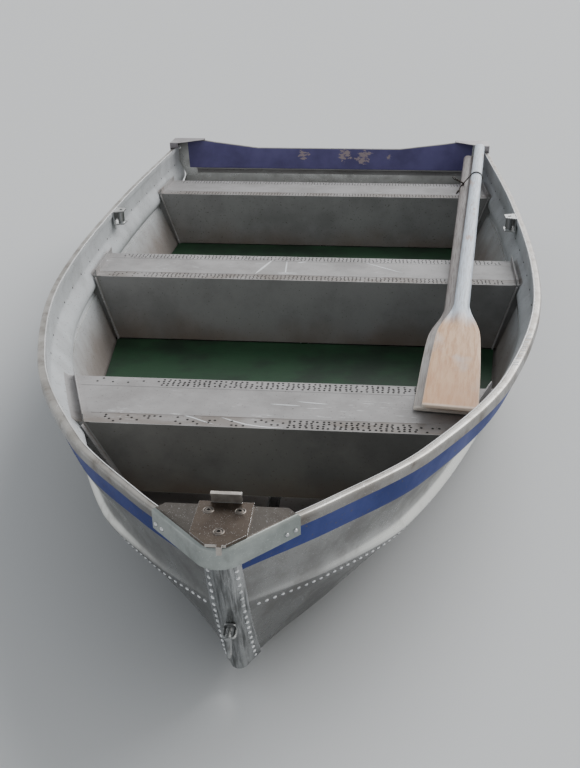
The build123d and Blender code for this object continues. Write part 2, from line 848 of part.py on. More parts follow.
# Rowlock socket brackets, on the inside of the gunwales
rowlock_place = thwart_places["middle"] + thwart_width + rowlock_from_thwart
bracket_ends = (rowlock_place - bracket_length / 2, rowlock_place + bracket_length / 2)
bracket_back = min(gunwale_edge(s) for s in bracket_ends) - gunwale_width - fit
socket_x = bracket_back - socket_stand
with BuildPart() as rowlock:
    for z in (sheer + 1 - bracket_wall, sheer - socket_length):
        with BuildSketch(Plane.XY.offset(z)):
            with BuildLine():
                Polyline(
                    (bracket_back, y_at(bracket_ends[0])),
                    (bracket_back, y_at(bracket_ends[1])),
                    (socket_x - bracket_nose, y_at(rowlock_place + bracket_length / 3)),
                    (socket_x - bracket_nose, y_at(rowlock_place - bracket_length / 3)),
                    close=True,
                )
            make_face()
        extrude(amount=bracket_wall)
    with BuildSketch(Plane.YZ.offset(bracket_back - bracket_wall)):
        with Locations((y_at(rowlock_place), sheer + 0.5 - socket_length / 2)):
            Rectangle(bracket_length, socket_length + 1)
    extrude(amount=bracket_wall)
    with BuildSketch(Plane.XY.offset(sheer - socket_length)):
        with Locations((socket_x, y_at(rowlock_place))):
            Circle(socket_outer / 2)
    extrude(amount=socket_length + 1)
    with BuildSketch(Plane.XY.offset(sheer - socket_length)):
        with Locations((socket_x, y_at(rowlock_place))):
            Circle(socket_bore / 2)
    extrude(amount=socket_length + 1, mode=Mode.SUBTRACT)
both_sides(rowlock, "rowlock_bracket")


# Oars: drawn from the blade's tip, then laid in the boat
def oar(blade_at, handle_at):
    """An oar with its blade tip at one point and its handle end at another."""
    line = Vector(*handle_at) - Vector(*blade_at)
    direction = line.normalized()
    sideways = Vector(-direction.Y, direction.X, 0).normalized()
    lay = Plane(origin=blade_at, x_dir=tuple(direction), z_dir=tuple(direction.cross(sideways)))
    shaft_from = lay.from_local_coords((shaft_taper_start, 0, 0))
    shaft = Plane(origin=shaft_from, x_dir=tuple(sideways), z_dir=tuple(direction))
    # columns: distance from the blade's tip, half width
    blade_rows = [
        (0, blade_tip_half - blade_corner),
        (blade_corner, blade_tip_half),
        (shoulder_place, shoulder_half),
        (waist_place, shoulder_waist),
        (blade_length, oar_shaft / 2 - 1),
    ]
    # columns: distance from the blade's tip, breadth of the shaft
    shaft_rows = [
        (shaft_taper_start, shaft_ridge),
        (blade_length, oar_shaft - 1),
        (line.length / 2, oar_shaft),
        (line.length, oar_handle),
    ]
    with BuildPart() as piece:
        with BuildSketch(lay.offset(-blade_wall / 2)):
            with BuildLine():
                Polyline(*blade_rows, *[(x, -y) for x, y in blade_rows[::-1]], close=True)
            make_face()
        extrude(amount=blade_wall)
        for along, size in shaft_rows:
            with BuildSketch(shaft.offset(along - shaft_taper_start)):
                RectangleRounded(size, min(size, oar_thickness), size * 0.24)
        loft(ruled=True)
    return piece


handle_place = length - corner_reach - handle_from_cap
handle_x = gunwale_edge(handle_place) - gunwale_width - oar_handle / 2
handle_z = sheer + stern_lift + rest_gap + oar_handle / 2
tip_place = thwart_places["bow"] + tip_from_thwart
upper_tip = (upper_tip_x, y_at(tip_place), thwart_top + upper_tip_lift)
upper_end = (handle_x, y_at(handle_place), handle_z)
finish(oar(upper_tip, upper_end), "oar_upper")

lower_tip = (lower_tip_x, y_at(tip_place + lower_tip_back), thwart_top + rest_gap + blade_wall / 2)
lower_end = (handle_x - lower_handle_in, y_at(handle_place), handle_z - lower_handle_drop)
finish(oar(lower_tip, lower_end), "oar_lower")
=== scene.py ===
# %% [markdown]
# # A small riveted aluminium rowing boat
# The boat's solids come at their real size from the imported model. What follows gives them their finish, and
# adds what is too small or too soft for solid modelling: pressed sheets with gentle bends, rivets, punched
# treads, rounded edges, some worn and some with painted highlights, and the wire that ties the oars.

# %% The frame
from collections import namedtuple
from math import atan, ceil, cos, pi, radians, sin, sqrt, tan

import bmesh
import bpy
from mathutils import Matrix, Vector


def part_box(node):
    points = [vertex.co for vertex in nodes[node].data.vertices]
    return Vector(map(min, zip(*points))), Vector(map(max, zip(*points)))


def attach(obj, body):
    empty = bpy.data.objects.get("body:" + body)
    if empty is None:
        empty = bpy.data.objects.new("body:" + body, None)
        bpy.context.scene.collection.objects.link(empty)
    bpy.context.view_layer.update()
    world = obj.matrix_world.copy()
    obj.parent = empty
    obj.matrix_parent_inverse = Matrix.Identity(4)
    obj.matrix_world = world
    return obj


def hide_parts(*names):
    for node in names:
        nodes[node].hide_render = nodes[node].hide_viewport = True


mm = 0.001
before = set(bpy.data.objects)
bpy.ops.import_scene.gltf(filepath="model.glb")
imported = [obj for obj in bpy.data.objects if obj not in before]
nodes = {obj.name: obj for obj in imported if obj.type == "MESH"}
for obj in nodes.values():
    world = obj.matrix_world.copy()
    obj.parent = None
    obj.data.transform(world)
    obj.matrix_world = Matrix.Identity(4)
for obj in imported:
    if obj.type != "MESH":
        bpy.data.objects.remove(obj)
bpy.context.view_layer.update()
print("nodes:", len(nodes))

# %% [markdown]
# ## The camera
# The photograph was taken standing ahead of the bow and a little to port,
# looking down into the boat. Its height, tilt and lens were worked out from
# upright and level lines in the picture.

# %% Camera
image_height = 768
focal_pixels = 906.6
camera_place = Vector((0.208, -2.560, 1.205))
camera_tilt, camera_turn, camera_roll = radians(26.25), radians(5.46), radians(-0.53)

camera_data = bpy.data.cameras.new("camera")
camera_data.sensor_width = 36.0
camera_data.lens = focal_pixels / image_height * camera_data.sensor_width
camera = bpy.data.objects.new("camera", camera_data)
camera.matrix_world = (
    Matrix.Translation(camera_place)
    @ Matrix.Rotation(camera_turn, 4, "Z")
    @ Matrix.Rotation(pi / 2 - camera_tilt, 4, "X")
    @ Matrix.Rotation(camera_roll, 4, "Z")
)
bpy.context.scene.collection.objects.link(camera)
bpy.context.scene.camera = camera
print("lens in mm:", round(camera_data.lens, 1))

# %% [markdown]
# ## Colours and nodes
# Colours are written as the sRGB hex values that a paint program shows, and
# one function turns them to the linear values that the renderer works in. One
# small function adds a node, makes its settings and fills its sockets, for
# shaders and for geometry alike.


# %% Colour and node helpers
def colour(hex_code):
    """Linear colour with alpha of an sRGB hex value such as c8c9cb."""
    shares = [int(hex_code[i:i + 2], 16) / 255 for i in (0, 2, 4)]
    return (*[v / 12.92 if v <= 0.04045 else ((v + 0.055) / 1.055) ** 2.4 for v in shares], 1)


def add_node(tree, kind, inputs=None, output=0, **settings):
    """Adds a node, fills its sockets with values, hex colours or outputs, and returns one output."""
    node = tree.nodes.new(kind)
    for name, value in settings.items():
        setattr(node, name, value)
    for key, value in (inputs or {}).items():
        socket = node.inputs[key]
        if isinstance(value, bpy.types.NodeSocket):
            tree.links.new(value, socket)
        elif isinstance(value, str) and socket.type == "RGBA":
            socket.default_value = colour(value)
        else:
            socket.default_value = value
    return node.outputs[output] if node.outputs else None


# %% [markdown]
# ## What the finishes are made of
# Every finish here is built in coats. A pattern of noise lies on the piece at
# a real size in metres. A share says how far patterns or places have gone from
# none to full. A coat lays one colour over another by such a share, as dirt,
# bare metal and worn paint lie over each other.


# %% Patterns and coats
def start_material(name, base, roughness, metallic=0.0):
    """A material with its plain values set, and the tree and shader to build on."""
    material = bpy.data.materials.new(name)
    material.use_nodes = True
    shader = material.node_tree.nodes["Principled BSDF"]
    for socket, value in (("Base Color", colour(base)), ("Roughness", roughness), ("Metallic", metallic)):
        shader.inputs[socket].default_value = value
    material.diffuse_color = colour(base)
    return material, material.node_tree, shader


def measured(tree, axis, coordinates="Object"):
    """One coordinate of the point on the piece, in metres."""
    point = add_node(tree, "ShaderNodeTexCoord", output=coordinates)
    return add_node(tree, "ShaderNodeSeparateXYZ", {0: point}, output=axis)


def pattern(tree, size, detail=3.0, rough=0.55, stretch=(1, 1, 1), coordinates="Object"):
    """Noise on the piece whose blotches are about as large as the size, stretched along the axes."""
    point = add_node(tree, "ShaderNodeTexCoord", output=coordinates)
    point = add_node(tree, "ShaderNodeMapping", {"Scale": stretch, "Vector": point})
    settings = {"Vector": point, "Scale": 1 / size, "Detail": detail, "Roughness": rough}
    return add_node(tree, "ShaderNodeTexNoise", settings)


def share_of(tree, *ranges, most=1.0, least=0.0):
    """How far values have gone, each from none to full, multiplied together up to the most."""
    for value, none, full in ranges:
        sockets = {0: value, 1: none, 2: full, 3: least, 4: most}
        most = add_node(tree, "ShaderNodeMapRange", sockets, interpolation_type="SMOOTHSTEP")
    return most


def coat(tree, under, over, *ranges, most=1.0):
    """Lays one colour over another where the values have gone from none to full."""
    sockets = {0: share_of(tree, *ranges, most=most), 6: under, 7: over}
    return add_node(tree, "ShaderNodeMix", sockets, output=2, data_type="RGBA")


def finish_shader(tree, shader, base, relief, depth, uneven=None, roughs=()):
    """Gives the shader its colour, a relief of a depth in metres and a roughness that varies."""
    tree.links.new(base, shader.inputs["Base Color"])
    normal = add_node(tree, "ShaderNodeBump", {"Distance": depth, "Height": relief})
    tree.links.new(normal, shader.inputs["Normal"])
    if roughs:
        rough = share_of(tree, (uneven, 0.3, 0.7), least=roughs[0], most=roughs[1])
        tree.links.new(rough, shader.inputs["Roughness"])


# %% [markdown]
# ## Light
# The light is soft. It comes from behind the stern, from the port side and
# from above. The world is pale, with a brighter band low behind the stern,
# which is what the metal mirrors, and a very wide sun adds soft shadows.

# %% Lights and floor
world = bpy.data.worlds.new("studio")
bpy.context.scene.world = world
world.use_nodes = True
sky = world.node_tree
to_port, to_stern, upwards = (measured(sky, axis, "Generated") for axis in "XYZ")
glow = coat(sky, "b3b7ba", "f6f6f2", (to_port, 0.1, 0.9), most=0.75)
glow = coat(sky, glow, "ffffff", (to_stern, 0.1, 0.85), (upwards, 0.75, 0.32))
sky.links.new(glow, sky.nodes["Background"].inputs["Color"])
sky.nodes["Background"].inputs["Strength"].default_value = 1.1

sun_data = bpy.data.lights.new("soft_light", "SUN")
sun_data.energy = 2.6
sun_data.angle = radians(50)
sun = bpy.data.objects.new("soft_light", sun_data)
sun.rotation_euler = Vector((0.7, 1.0, 0.95)).to_track_quat("Z", "Y").to_euler()
bpy.context.scene.collection.objects.link(sun)

bpy.ops.mesh.primitive_plane_add(size=80, location=(0, 0, 0))
studio_floor = bpy.context.object
studio_floor.name = "studio_floor"
studio_floor.data.materials.append(start_material("pale_floor", "d6d7d8", 0.8)[0])

# %% [markdown]
# ## Bare aluminium
# The hull is rolled aluminium sheet that was never painted outside. Age gives
# it a dull oxide skin with lighter and darker clouds, fine scratches that run
# along the boat from landings, and shallow dents. It is one recipe, and each
# kind of piece sets its own colours, the direction of its scratches and how
# much dirt it carries.


# %% Bare metal
def bare_metal(
    name, light, dark, roughness, scratches, dirt=None, dirt_share=0.5, dent=0.0006, painted_sky_share=0.1,
    cloud=0.09,
):
    """Worn bare metal: clouds of oxide, painted shade below, a painted sky reflection above, scratches, dirt
    in blotches and shallow dents.
    """
    material, tree, shader = start_material(name, light, roughness, metallic=1.0)
    clouds = pattern(tree, cloud, 5.0, 0.6, all_ways if cloud > 0.05 else scratches)
    base = coat(tree, light, dark, (clouds, 0.36, 0.66))
    # faces that look down are painted darker as shade, and faces that look up are painted lighter as a
    # reflection of the sky, as far as the sky share says
    normal = add_node(tree, "ShaderNodeNewGeometry", output="Normal")
    up = add_node(tree, "ShaderNodeSeparateXYZ", {0: normal}, output="Z")
    base = coat(tree, base, "434445", (up, 0.05, -0.6), most=0.7)
    base = coat(tree, base, "f6f6f0", (up, 0.05, 0.4), most=painted_sky_share)
    lines = pattern(tree, 0.0016, 2.0, stretch=scratches)
    fine = pattern(tree, 0.005, 3.0, stretch=[1.7 * v for v in scratches])
    marks = share_of(tree, (lines, 0.58, 0.72), (fine, 0.45, 0.62))
    base = coat(tree, base, "e4e6e8", (marks, 0, 1), most=0.55)
    if dirt:
        base = coat(tree, base, dirt, (pattern(tree, 0.045, 6.0, 0.65), 0.5, 0.74), most=dirt_share)
    relief = {0: lines, 1: 0.04, 2: pattern(tree, 0.12, 2.0)}
    relief = add_node(tree, "ShaderNodeMath", relief, operation="MULTIPLY_ADD")
    finish_shader(tree, shader, base, relief, dent * 4, clouds, (roughness - 0.08, roughness + 0.12))
    return material


all_ways, along, upright = (1.0, 1.0, 1.0), (1.0, 0.03, 1.0), (1.0, 0.12, 0.05)
smooth = {"dent": 0.0001, "painted_sky_share": 0.0}
hull_metal = bare_metal("rolled_aluminium_hull", "b2b2b0", "9b9a98", 0.3, along, "7c7771", 0.3, painted_sky_share=0.9)
gunwale_metal = bare_metal(
    "extruded_aluminium_gunwale", "a09d99", "87817b", 0.34, along, "63574e", dent=0.0001
)
stem_metal = bare_metal(
    "brushed_aluminium_stem", "dfe1e1", "6a6d6d", 0.27, upright, "54534f", 0.35, dent=0.0004, cloud=0.007
)
rim_metal = bare_metal("satin_aluminium_rim", "a9aeab", "8f9592", 0.34, along, "7d7a76", 0.3, **smooth)
plate_metal = bare_metal(
    "stained_aluminium_plate", "625d58", "4d4844", 0.36, all_ways, "3a3632", 0.45, **smooth
)
cap_metal = bare_metal("cast_aluminium_cap", "a9a6a8", "8c878b", 0.45, all_ways, "6c6468", dent=0.0002)
rivet_metal = bare_metal("aluminium_rivet", "e6e7e8", "bfc1c2", 0.22, all_ways, dent=0.0)
# bright edges: rubbed wear on the bevels of plates, and a painted highlight on the gunwale's bead and the
# stem cap's legs
wear_and_painted_highlight = bare_metal("aluminium_edge_wear_and_painted_highlight", "e2e3e4", "c6c7c8", 0.25, all_ways, dent=0.0)
dull_rivet = bare_metal("dull_painted_rivet", "4c4a49", "3a3837", 0.5, all_ways, dent=0.0)

# %% [markdown]
# ## Brown stained steel and galvanised steel
# The same recipe gives the steels. The plate bolted on the bow has gone brown and half dull, and its hook and
# the catch at its front are lighter. The shackle, its eye and the rowlock sockets are zinc coated.

# %% Steel
base_metal = bare_metal("stained_steel_plate", "665b52", "4c433c", 0.36, all_ways, "342d27", 0.6, **smooth)
hook_metal = bare_metal("lighter_steel_hook", "cbc5be", "a39b93", 0.5, all_ways, "6a625b", 0.35, **smooth)
screw_metal = bare_metal("stained_steel_screw", "8f8780", "6d655f", 0.32, all_ways, "4a423c", 0.5, **smooth)
recess_painted_shade = bare_metal("dark_recess_painted_shade", "191817", "0f0f0f", 0.6, all_ways, dent=0.0)
zinc_metal = bare_metal("galvanised_steel", "b7b9b9", "8f9090", 0.38, all_ways, "5f5a55", dent=0.0001)
wire_metal = bare_metal("rusted_wire", "4d4541", "2f2a28", 0.6, all_ways, "5a3a26", 0.6, dent=0.0)

# %% [markdown]
# ## Grey enamel inside
# The inside and the seats carry a light grey enamel. It is dulled by feet and mud, and scuffed through here
# and there. Low on the flanks and on the seat fronts it turns brown, dirt and painted shade together, under a
# mask of height with a ragged upper edge. The fronts of the seats take darker copies of the enamel, which are
# painted shade. The same recipe with other colours gives the blue stripe, the black of the dimples and the
# chalky scrapes.


# %% Enamel
def enamel(name, light, dark, roughness, dirt_and_shade_top=None, scuffs=0.0, brown_strips=()):
    """Old paint with grime, scuffs down to the metal, dirt and painted shade up to a height, and strips
    browned by feet.
    """
    material, tree, shader = start_material(name, light, roughness)
    grime = pattern(tree, 0.16, 6.0, 0.62)
    base = coat(tree, light, dark, (grime, 0.36, 0.7))
    base = coat(tree, base, "4c4640", (pattern(tree, 0.006, 2.0), 0.64, 0.72), most=0.7)
    if dirt_and_shade_top:
        # below a height with a ragged edge the paint is browned, dirt and painted shade together
        ragged = {0: pattern(tree, 0.14, 4.0), 1: -0.16, 2: measured(tree, "Z")}
        ragged = add_node(tree, "ShaderNodeMath", ragged, operation="MULTIPLY_ADD")
        base = coat(tree, base, "6a5038", (ragged, dirt_and_shade_top, dirt_and_shade_top - 0.16), most=0.6)
    for start, end in brown_strips:
        forward = measured(tree, "Y")
        patches = pattern(tree, 0.05, 5.0, stretch=(0.5, 1, 1))
        patchy = share_of(tree, (patches, 0.35, 0.6), least=0.15, most=0.6)
        strip = (forward, start - 0.002, start + 0.002), (forward, end + 0.004, end - 0.004)
        base = coat(tree, base, "6b5d50", *strip, most=patchy)
    if scuffs:
        lines = pattern(tree, 0.004, 3.0, stretch=(0.12, 1, 1))
        places = pattern(tree, 0.11, 3.0)
        base = coat(tree, base, "e6e8ea", (lines, 0.6, 0.68), (places, 0.5, 0.66), most=scuffs)
    relief = pattern(tree, 0.1, 3.0)
    finish_shader(tree, shader, base, relief, 0.0012, grime, (roughness - 0.1, roughness + 0.14))
    return material


thwart_names = ("bow", "middle", "aft")
# how far the browned strip reaches ahead of and behind the front of a seat, in metres
strip_reach = (0.004, 0.046)
seat_fronts = [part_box(f"thwart_{part}")[0].y for part in thwart_names]
browned = [(y - strip_reach[0], y + strip_reach[1]) for y in seat_fronts]
grey_inside = enamel("grey_enamel_inside", "bcbfc2", "a7a9ab", 0.68, dirt_and_shade_top=0.17)
grey_seat = enamel("grey_enamel_seat", "a3a0a0", "8b8887", 0.4, scuffs=0.75, brown_strips=browned)
# the fronts of the seats and the plates at their ends are darker copies of the seat's enamel, painted shade,
# the bow seat's front darkest
grey_front_painted_shade = enamel("grey_enamel_front_painted_shade", "908f8e", "7d7c7b", 0.5, dirt_and_shade_top=0.09)
bow_front_painted_shade = enamel("grey_enamel_bow_front_painted_shade", "6a6965", "585754", 0.55, dirt_and_shade_top=0.1)
seat_edge = enamel("grey_enamel_rubbed_edge", "c9c9c8", "b0afad", 0.36)
stripe_blue = enamel("blue_enamel_stripe", "052a7c", "04236a", 0.5)
bilge_grime_and_painted_shade = enamel("bilge_grime_and_painted_shade", "3a3632", "24211e", 0.8)
dimple_black = enamel("black_in_dimples", "1f1c1a", "151312", 0.8)
wood_edge = enamel("grey_brown_wood_edge", "9a928c", "7d746d", 0.55)
chalky_scrape = enamel("chalky_scraped_paint", "e9eaec", "cfd1d4", 0.5)
print("materials:", len(bpy.data.materials))

# %% [markdown]
# ## Violet paint on the transom
# The wooden pad inside the transom is painted violet blue. The paint has come
# off in a few ragged places, down to a pinkish grey primer. Noise alone would
# put them anywhere, so each is held to a soft ball round its place.

# %% Peeling paint
pad_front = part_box("transom_pad")[0].y + 0.02
# columns: x, z and radius of a peeled place, in metres
peeled_places = [(0.075, 0.335, 0.095), (0.155, 0.33, 0.10), (-0.11, 0.335, 0.075), (0.27, 0.33, 0.04)]
violet_paint, tree, shader = start_material("violet_enamel_peeling", "544c82", 0.42)
base = coat(tree, "645e93", "504a7b", (pattern(tree, 0.12, 5.0), 0.35, 0.7))
ragged = pattern(tree, 0.026, 5.0, 0.7, (1, 1, 2.2))
for x, z, radius in peeled_places:
    ends = {0: add_node(tree, "ShaderNodeTexCoord", output="Object"), 1: (x, pad_front, z)}
    away = add_node(tree, "ShaderNodeVectorMath", ends, output="Value", operation="DISTANCE")
    held = share_of(tree, (away, 0.01, radius), least=0.16, most=-0.5)
    flakes = add_node(tree, "ShaderNodeMath", {0: ragged, 1: held}, operation="ADD")
    base = coat(tree, base, "a8979a", (flakes, 0.6, 0.64))
finish_shader(tree, shader, base, ragged, 0.0008)

# %% [markdown]
# ## Floor panels
# The loose floor is plywood painted dark green, worn darker and muddier where
# feet stand.

# %% Green paint
green_paint, tree, shader = start_material("green_painted_plywood", "1d4028", 0.55)
base = coat(tree, "1b4227", "142b1c", (pattern(tree, 0.15, 6.0, 0.6), 0.4, 0.68))
grain = pattern(tree, 0.003, 3.0, stretch=(0.04, 1, 1))
base = coat(tree, base, "3a4a38", (grain, 0.6, 0.75), most=0.35)
finish_shader(tree, shader, base, grain, 0.0004)

# %% [markdown]
# ## Wooden oars
# The oars are softwood. One was whitewashed and has weathered to bluish white
# on its shaft, while its blade is bare tan wood, darker toward the tip and
# pale along its rim. The other has gone grey brown. Grain runs along the
# piece, so its material reads a UV map whose first axis is the distance from
# the blade's tip and whose second goes round it, in metres.

# %% Oar wood
oar_girth = 0.13


def oar_wood(name, shaft, shaft_dark, blade, blade_dark, blade_end):
    """Weathered wood with a shaft and a blade of other colours, and grain along the oar."""
    material, tree, shader = start_material(name, shaft, 0.5)
    along_oar, round_oar = (measured(tree, axis, "UV") for axis in "XY")
    grain = pattern(tree, 0.004, 5.0, 0.65, (0.05, 1, 1), "UV")
    patches = pattern(tree, 0.05, 4.0, 0.6, (0.25, 1, 1), "UV")
    shaft_wood = coat(tree, shaft, shaft_dark, (grain, 0.42, 0.66))
    shaft_wood = coat(tree, shaft_wood, blade_dark, (patches, 0.56, 0.7), most=0.7)
    blade_wood = coat(tree, blade, blade_dark, (grain, 0.4, 0.66))
    blade_wood = coat(tree, blade_wood, shaft, (patches, 0.5, 0.66), most=0.4)
    base = coat(tree, blade_wood, shaft_wood, (along_oar, blade_end - 0.1, blade_end))
    base = coat(tree, base, blade_dark, (along_oar, 0.34, 0.02), most=0.55)
    from_edge = add_node(tree, "ShaderNodeMath", {0: round_oar, 1: oar_girth / 4}, operation="PINGPONG")
    rim = (from_edge, 0.0065, 0.002), (along_oar, blade_end, blade_end - 0.06)
    base = coat(tree, base, "e9dfd2", *rim, most=0.75)
    base = coat(tree, base, "e9dfd2", (along_oar, 0.012, 0.002), most=0.6)
    finish_shader(tree, shader, base, grain, 0.0006, patches, (0.34, 0.56))
    return material


white_oar = oar_wood("whitewashed_softwood", "dde7f3", "b8bdc5", "ddb48c", "c08a5c", 0.5)
grey_oar = oar_wood("weathered_softwood", "9b9390", "6f6561", "b7b4b2", "8a8078", 0.42)

# %% [markdown]
# ## Turning points into pieces
# Every new piece goes the same way into the scene. Rows of rings of points, in millimetres, become one mesh
# with its normals outwards. A row ends in whole faces, or in ladders of faces where its rings are thin and
# bent, or it is joined up round. The object sits at the origin, its flat faces stay crisp and its bends
# smooth, and it is given its body.

# %% Piece helper
crisp_angle = 32


def add_piece(mesh, body="hull", crisp=crisp_angle, replaces=()):
    """Puts a mesh in the scene as a piece of the object, under the mesh's own name."""
    mesh.shade_smooth()
    mesh.set_sharp_from_angle(angle=radians(crisp))
    piece = bpy.data.objects.new(mesh.name, mesh)
    bpy.context.scene.collection.objects.link(piece)
    if replaces:
        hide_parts(*replaces)
    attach(piece, body)
    return piece


def rings_mesh(name, rows, materials, finish_at=None, ends="whole"):
    """A closed mesh of rows of rings, whose materials are chosen by the place in the ring."""
    points, faces, places = [], [], []
    for rings in rows:
        start, count = len(points), len(rings[0])
        points += [Vector(point) * mm for ring in rings for point in ring]
        for j in range(len(rings) if ends == "joined" else len(rings) - 1):
            here, after = start + j * count, start + (j + 1) % len(rings) * count
            for i in range(count):
                beside = (i + 1) % count
                faces.append((here + i, here + beside, after + beside, after + i))
                places.append(i)
        for first in (start, start + (len(rings) - 1) * count):
            last = first + count - 1
            if ends == "whole":
                faces.append(tuple(range(first, last + 1)))
                places.append(0)
            elif ends == "ladder":
                faces += [(first + i, first + i + 1, last - i - 1, last - i) for i in range(count // 2 - 1)]
                places += range(count // 2 - 1)
    mesh = bpy.data.meshes.new(name)
    mesh.from_pydata(points, [], faces)
    for material in materials:
        mesh.materials.append(material)
    mesh.polygons.foreach_set("material_index", [(finish_at or {}).get(i, 0) for i in places])
    work = bmesh.new()
    work.from_mesh(mesh)
    bmesh.ops.recalc_face_normals(work, faces=work.faces)
    work.to_mesh(mesh)
    work.free()
    return mesh


# %% [markdown]
# ## The hull's shape
# The solids run straight from one section to the next. Real sheets bend
# smoothly, so the same table of sections is eased here at any place along the
# boat. Each section is a plane that leans with the stem or the transom, and
# holds the edge of the gunwale, the pressed ledge and the chine. All of its
# measures are in millimetres, and s is the distance aft of the nose.

# %% Sections
length = 3050
wall, fit = 2.5, 0.3
gunwale_height, gunwale_width, gunwale_round, gunwale_lip, gunwale_web = 22, 20, 9, 16, 4
side_inset, stripe_height = 12, 52
ledge_height, ledge_depth, ledge_full = 30, 18, 240
ledge_return, return_drop, seam_lap = 4, 5, 26
keel_width, keel_gap = 22, 2.8
half_beam, sheer, bow_lift, stern_lift = 704, 368, 57, 6
knuckle_height, knuckle_lift = 216, 29
panel_end, transom_inset = 45, 10
nose_apex = -44 * (sqrt(2) - 1)
rim_depth = 3.5 * sqrt(2)
bow_top = sheer + bow_lift
Section = namedtuple("Section", "s rake edge top knuckle knuckle_z chine chine_z keel_z")
# columns: s, rake, drop of the top, knuckle, its rise, chine, its height, keel height
bow_rows = [
    (20, 22, 0, 24, 1.45, 14.5, 62, 50),
    (panel_end, 21.2, 1, 50, 1.27, 24.5, 59, 49),
    (150, 17, 8, 153, 0.83, 63, 50, 42),
]
# columns: share of the length, rake, then shares of the half beam and the lifts, and heights
body_rows = [
    (0.100, 8, 0.462, 0.60, 0.413, 0.30, 0.217, 50, 33),
    (0.220, 3, 0.729, 0.24, 0.632, 0.05, 0.476, 49, 25),
    (0.399, 0, 0.926, 0.04, 0.880, 0.0, 0.790, 47, 22),
    (0.682, 0, 0.997, 0.0, 0.960, 0.0, 0.858, 45, 22),
]
section_rows = [
    Section(
        s, rake, s - nose_apex - rim_depth, bow_top - drop, knuckle,
        knuckle_height + rise * knuckle_lift, *low,
    )
    for s, rake, drop, knuckle, rise, *low in bow_rows
] + [
    Section(
        panel_end + share * (length - panel_end), rake, edge * half_beam, sheer + lift * bow_lift,
        knuckle * half_beam, knuckle_height + rise * knuckle_lift, chine * half_beam, chine_z, keel_z,
    )
    for share, rake, edge, lift, knuckle, rise, chine, chine_z, keel_z in body_rows
] + [
    Section(
        length - transom_inset, -10, 0.976 * half_beam, sheer + stern_lift, 0.943 * half_beam,
        knuckle_height, 0.830 * half_beam, 46, 22,
    )
]


def eased_row(rows, at):
    """The row of a table at any place in its first column, eased between the rows on either side."""
    i = max(k for k in range(len(rows) - 1) if rows[k][0] <= at or k == 0)
    before, low, high, after = (rows[min(max(k, 0), len(rows) - 1)] for k in (i - 1, i, i + 1, i + 2))
    span = high[0] - low[0]
    u = (at - low[0]) / span
    out_of_low = [(b - a) / (high[0] - before[0]) for a, b in zip(before, high)]
    into_high = [(b - a) / (after[0] - low[0]) for a, b in zip(low, after)]
    return [
        a * (1 + 2 * u) * (1 - u) ** 2 + b * u * u * (3 - 2 * u)
        + span * (m * u * (1 - u) ** 2 + n * u * u * (u - 1))
        for a, b, m, n in zip(low, high, out_of_low, into_high)
    ]


def section_at(s):
    """The section at any place along the boat."""
    return Section(*eased_row(section_rows, s))


def place(row, x, z):
    """The point of a section at a breadth and height."""
    return Vector((x, row.s + (row.top - z) * tan(radians(row.rake)) - length / 2, z))


def flank(row):
    """Edge of the ledge's return, its height, and the slope of the flank below it."""
    edge = row.knuckle - min(1, row.knuckle / ledge_full) * ledge_return
    low = row.knuckle_z - return_drop
    return edge, low, (edge - row.chine) / (low - row.chine_z)


def side_line(row):
    """Outer corners of the side sheet in a section, from under the gunwale to the lap's edge."""
    face = row.edge - side_inset
    grow = min(1, row.knuckle / ledge_full)
    edge, low, slope = flank(row)
    return [
        (face, row.top - gunwale_web - 1),
        (face, row.top - gunwale_height + 2),
        (face - 0.12 * (face - row.knuckle), row.top - gunwale_height - stripe_height),
        (row.knuckle - grow * ledge_depth, row.knuckle_z + ledge_height * (0.35 + 0.65 * grow)),
        (row.knuckle, row.knuckle_z),
        (edge, low),
        (edge - slope * (seam_lap - return_drop), row.knuckle_z - seam_lap),
    ]


def bottom_line(row):
    """Outer corners of the bottom sheet in a section, from behind the lap to the keel."""
    edge, low, slope = flank(row)
    behind = (wall + 2 * fit) * sqrt(1 + slope * slope)
    return [
        (edge - slope * return_drop - behind, low - return_drop),
        (row.chine, row.chine_z),
        (keel_width / 2 + keel_gap, row.keel_z),
    ]


def rounded(points, bends, parts=None):
    """The line with some corners bent, each by a reach in steps, and some straights cut into parts."""
    line = []
    for i, point in enumerate(points):
        here = Vector(point)
        bend = [here]
        if i in bends:
            reach, steps = bends[i]
            before, after = Vector(points[i - 1]) - here, Vector(points[i + 1]) - here
            start = here + before.normalized() * min(reach, before.length * 0.48)
            end = here + after.normalized() * min(reach, after.length * 0.48)
            shares = [step / steps for step in range(steps + 1)]
            bend = [start * (1 - t) ** 2 + here * 2 * t * (1 - t) + end * t * t for t in shares]
        count = (parts or {}).get(i, 1)
        line += [line[-1].lerp(bend[0], k / count) for k in range(1, count)]
        line += bend
    return line


def moved_in(line, distance):
    """The line moved inboard, with mitred corners."""
    moved = []
    for i, here in enumerate(line):
        into = (here - line[i - 1]).normalized() if i else None
        out = (line[i + 1] - here).normalized() if i + 1 < len(line) else None
        first, second = into or out, out or into
        normal = Vector((first.y + second.y, -first.x - second.x))
        moved.append(here + normal * (distance / (1 + first.dot(second))))
    return moved


# places along the boat, close together at the bow and further apart later
first_place, last_place = section_rows[0].s, section_rows[-1].s
hull_run = last_place - first_place
fine_step, coarse_step = 15, 35
mean_step = (fine_step + coarse_step) / 2
evenness = fine_step / mean_step
place_count = ceil(hull_run / mean_step)
place_shares = [k / place_count for k in range(place_count + 1)]
hull_places = [first_place + hull_run * (evenness * t + (1 - evenness) * t ** 2) for t in place_shares]
widest = max(section_at(s).edge for s in hull_places)
print("sections:", len(hull_places), "breadth in mm:", round(2 * widest))

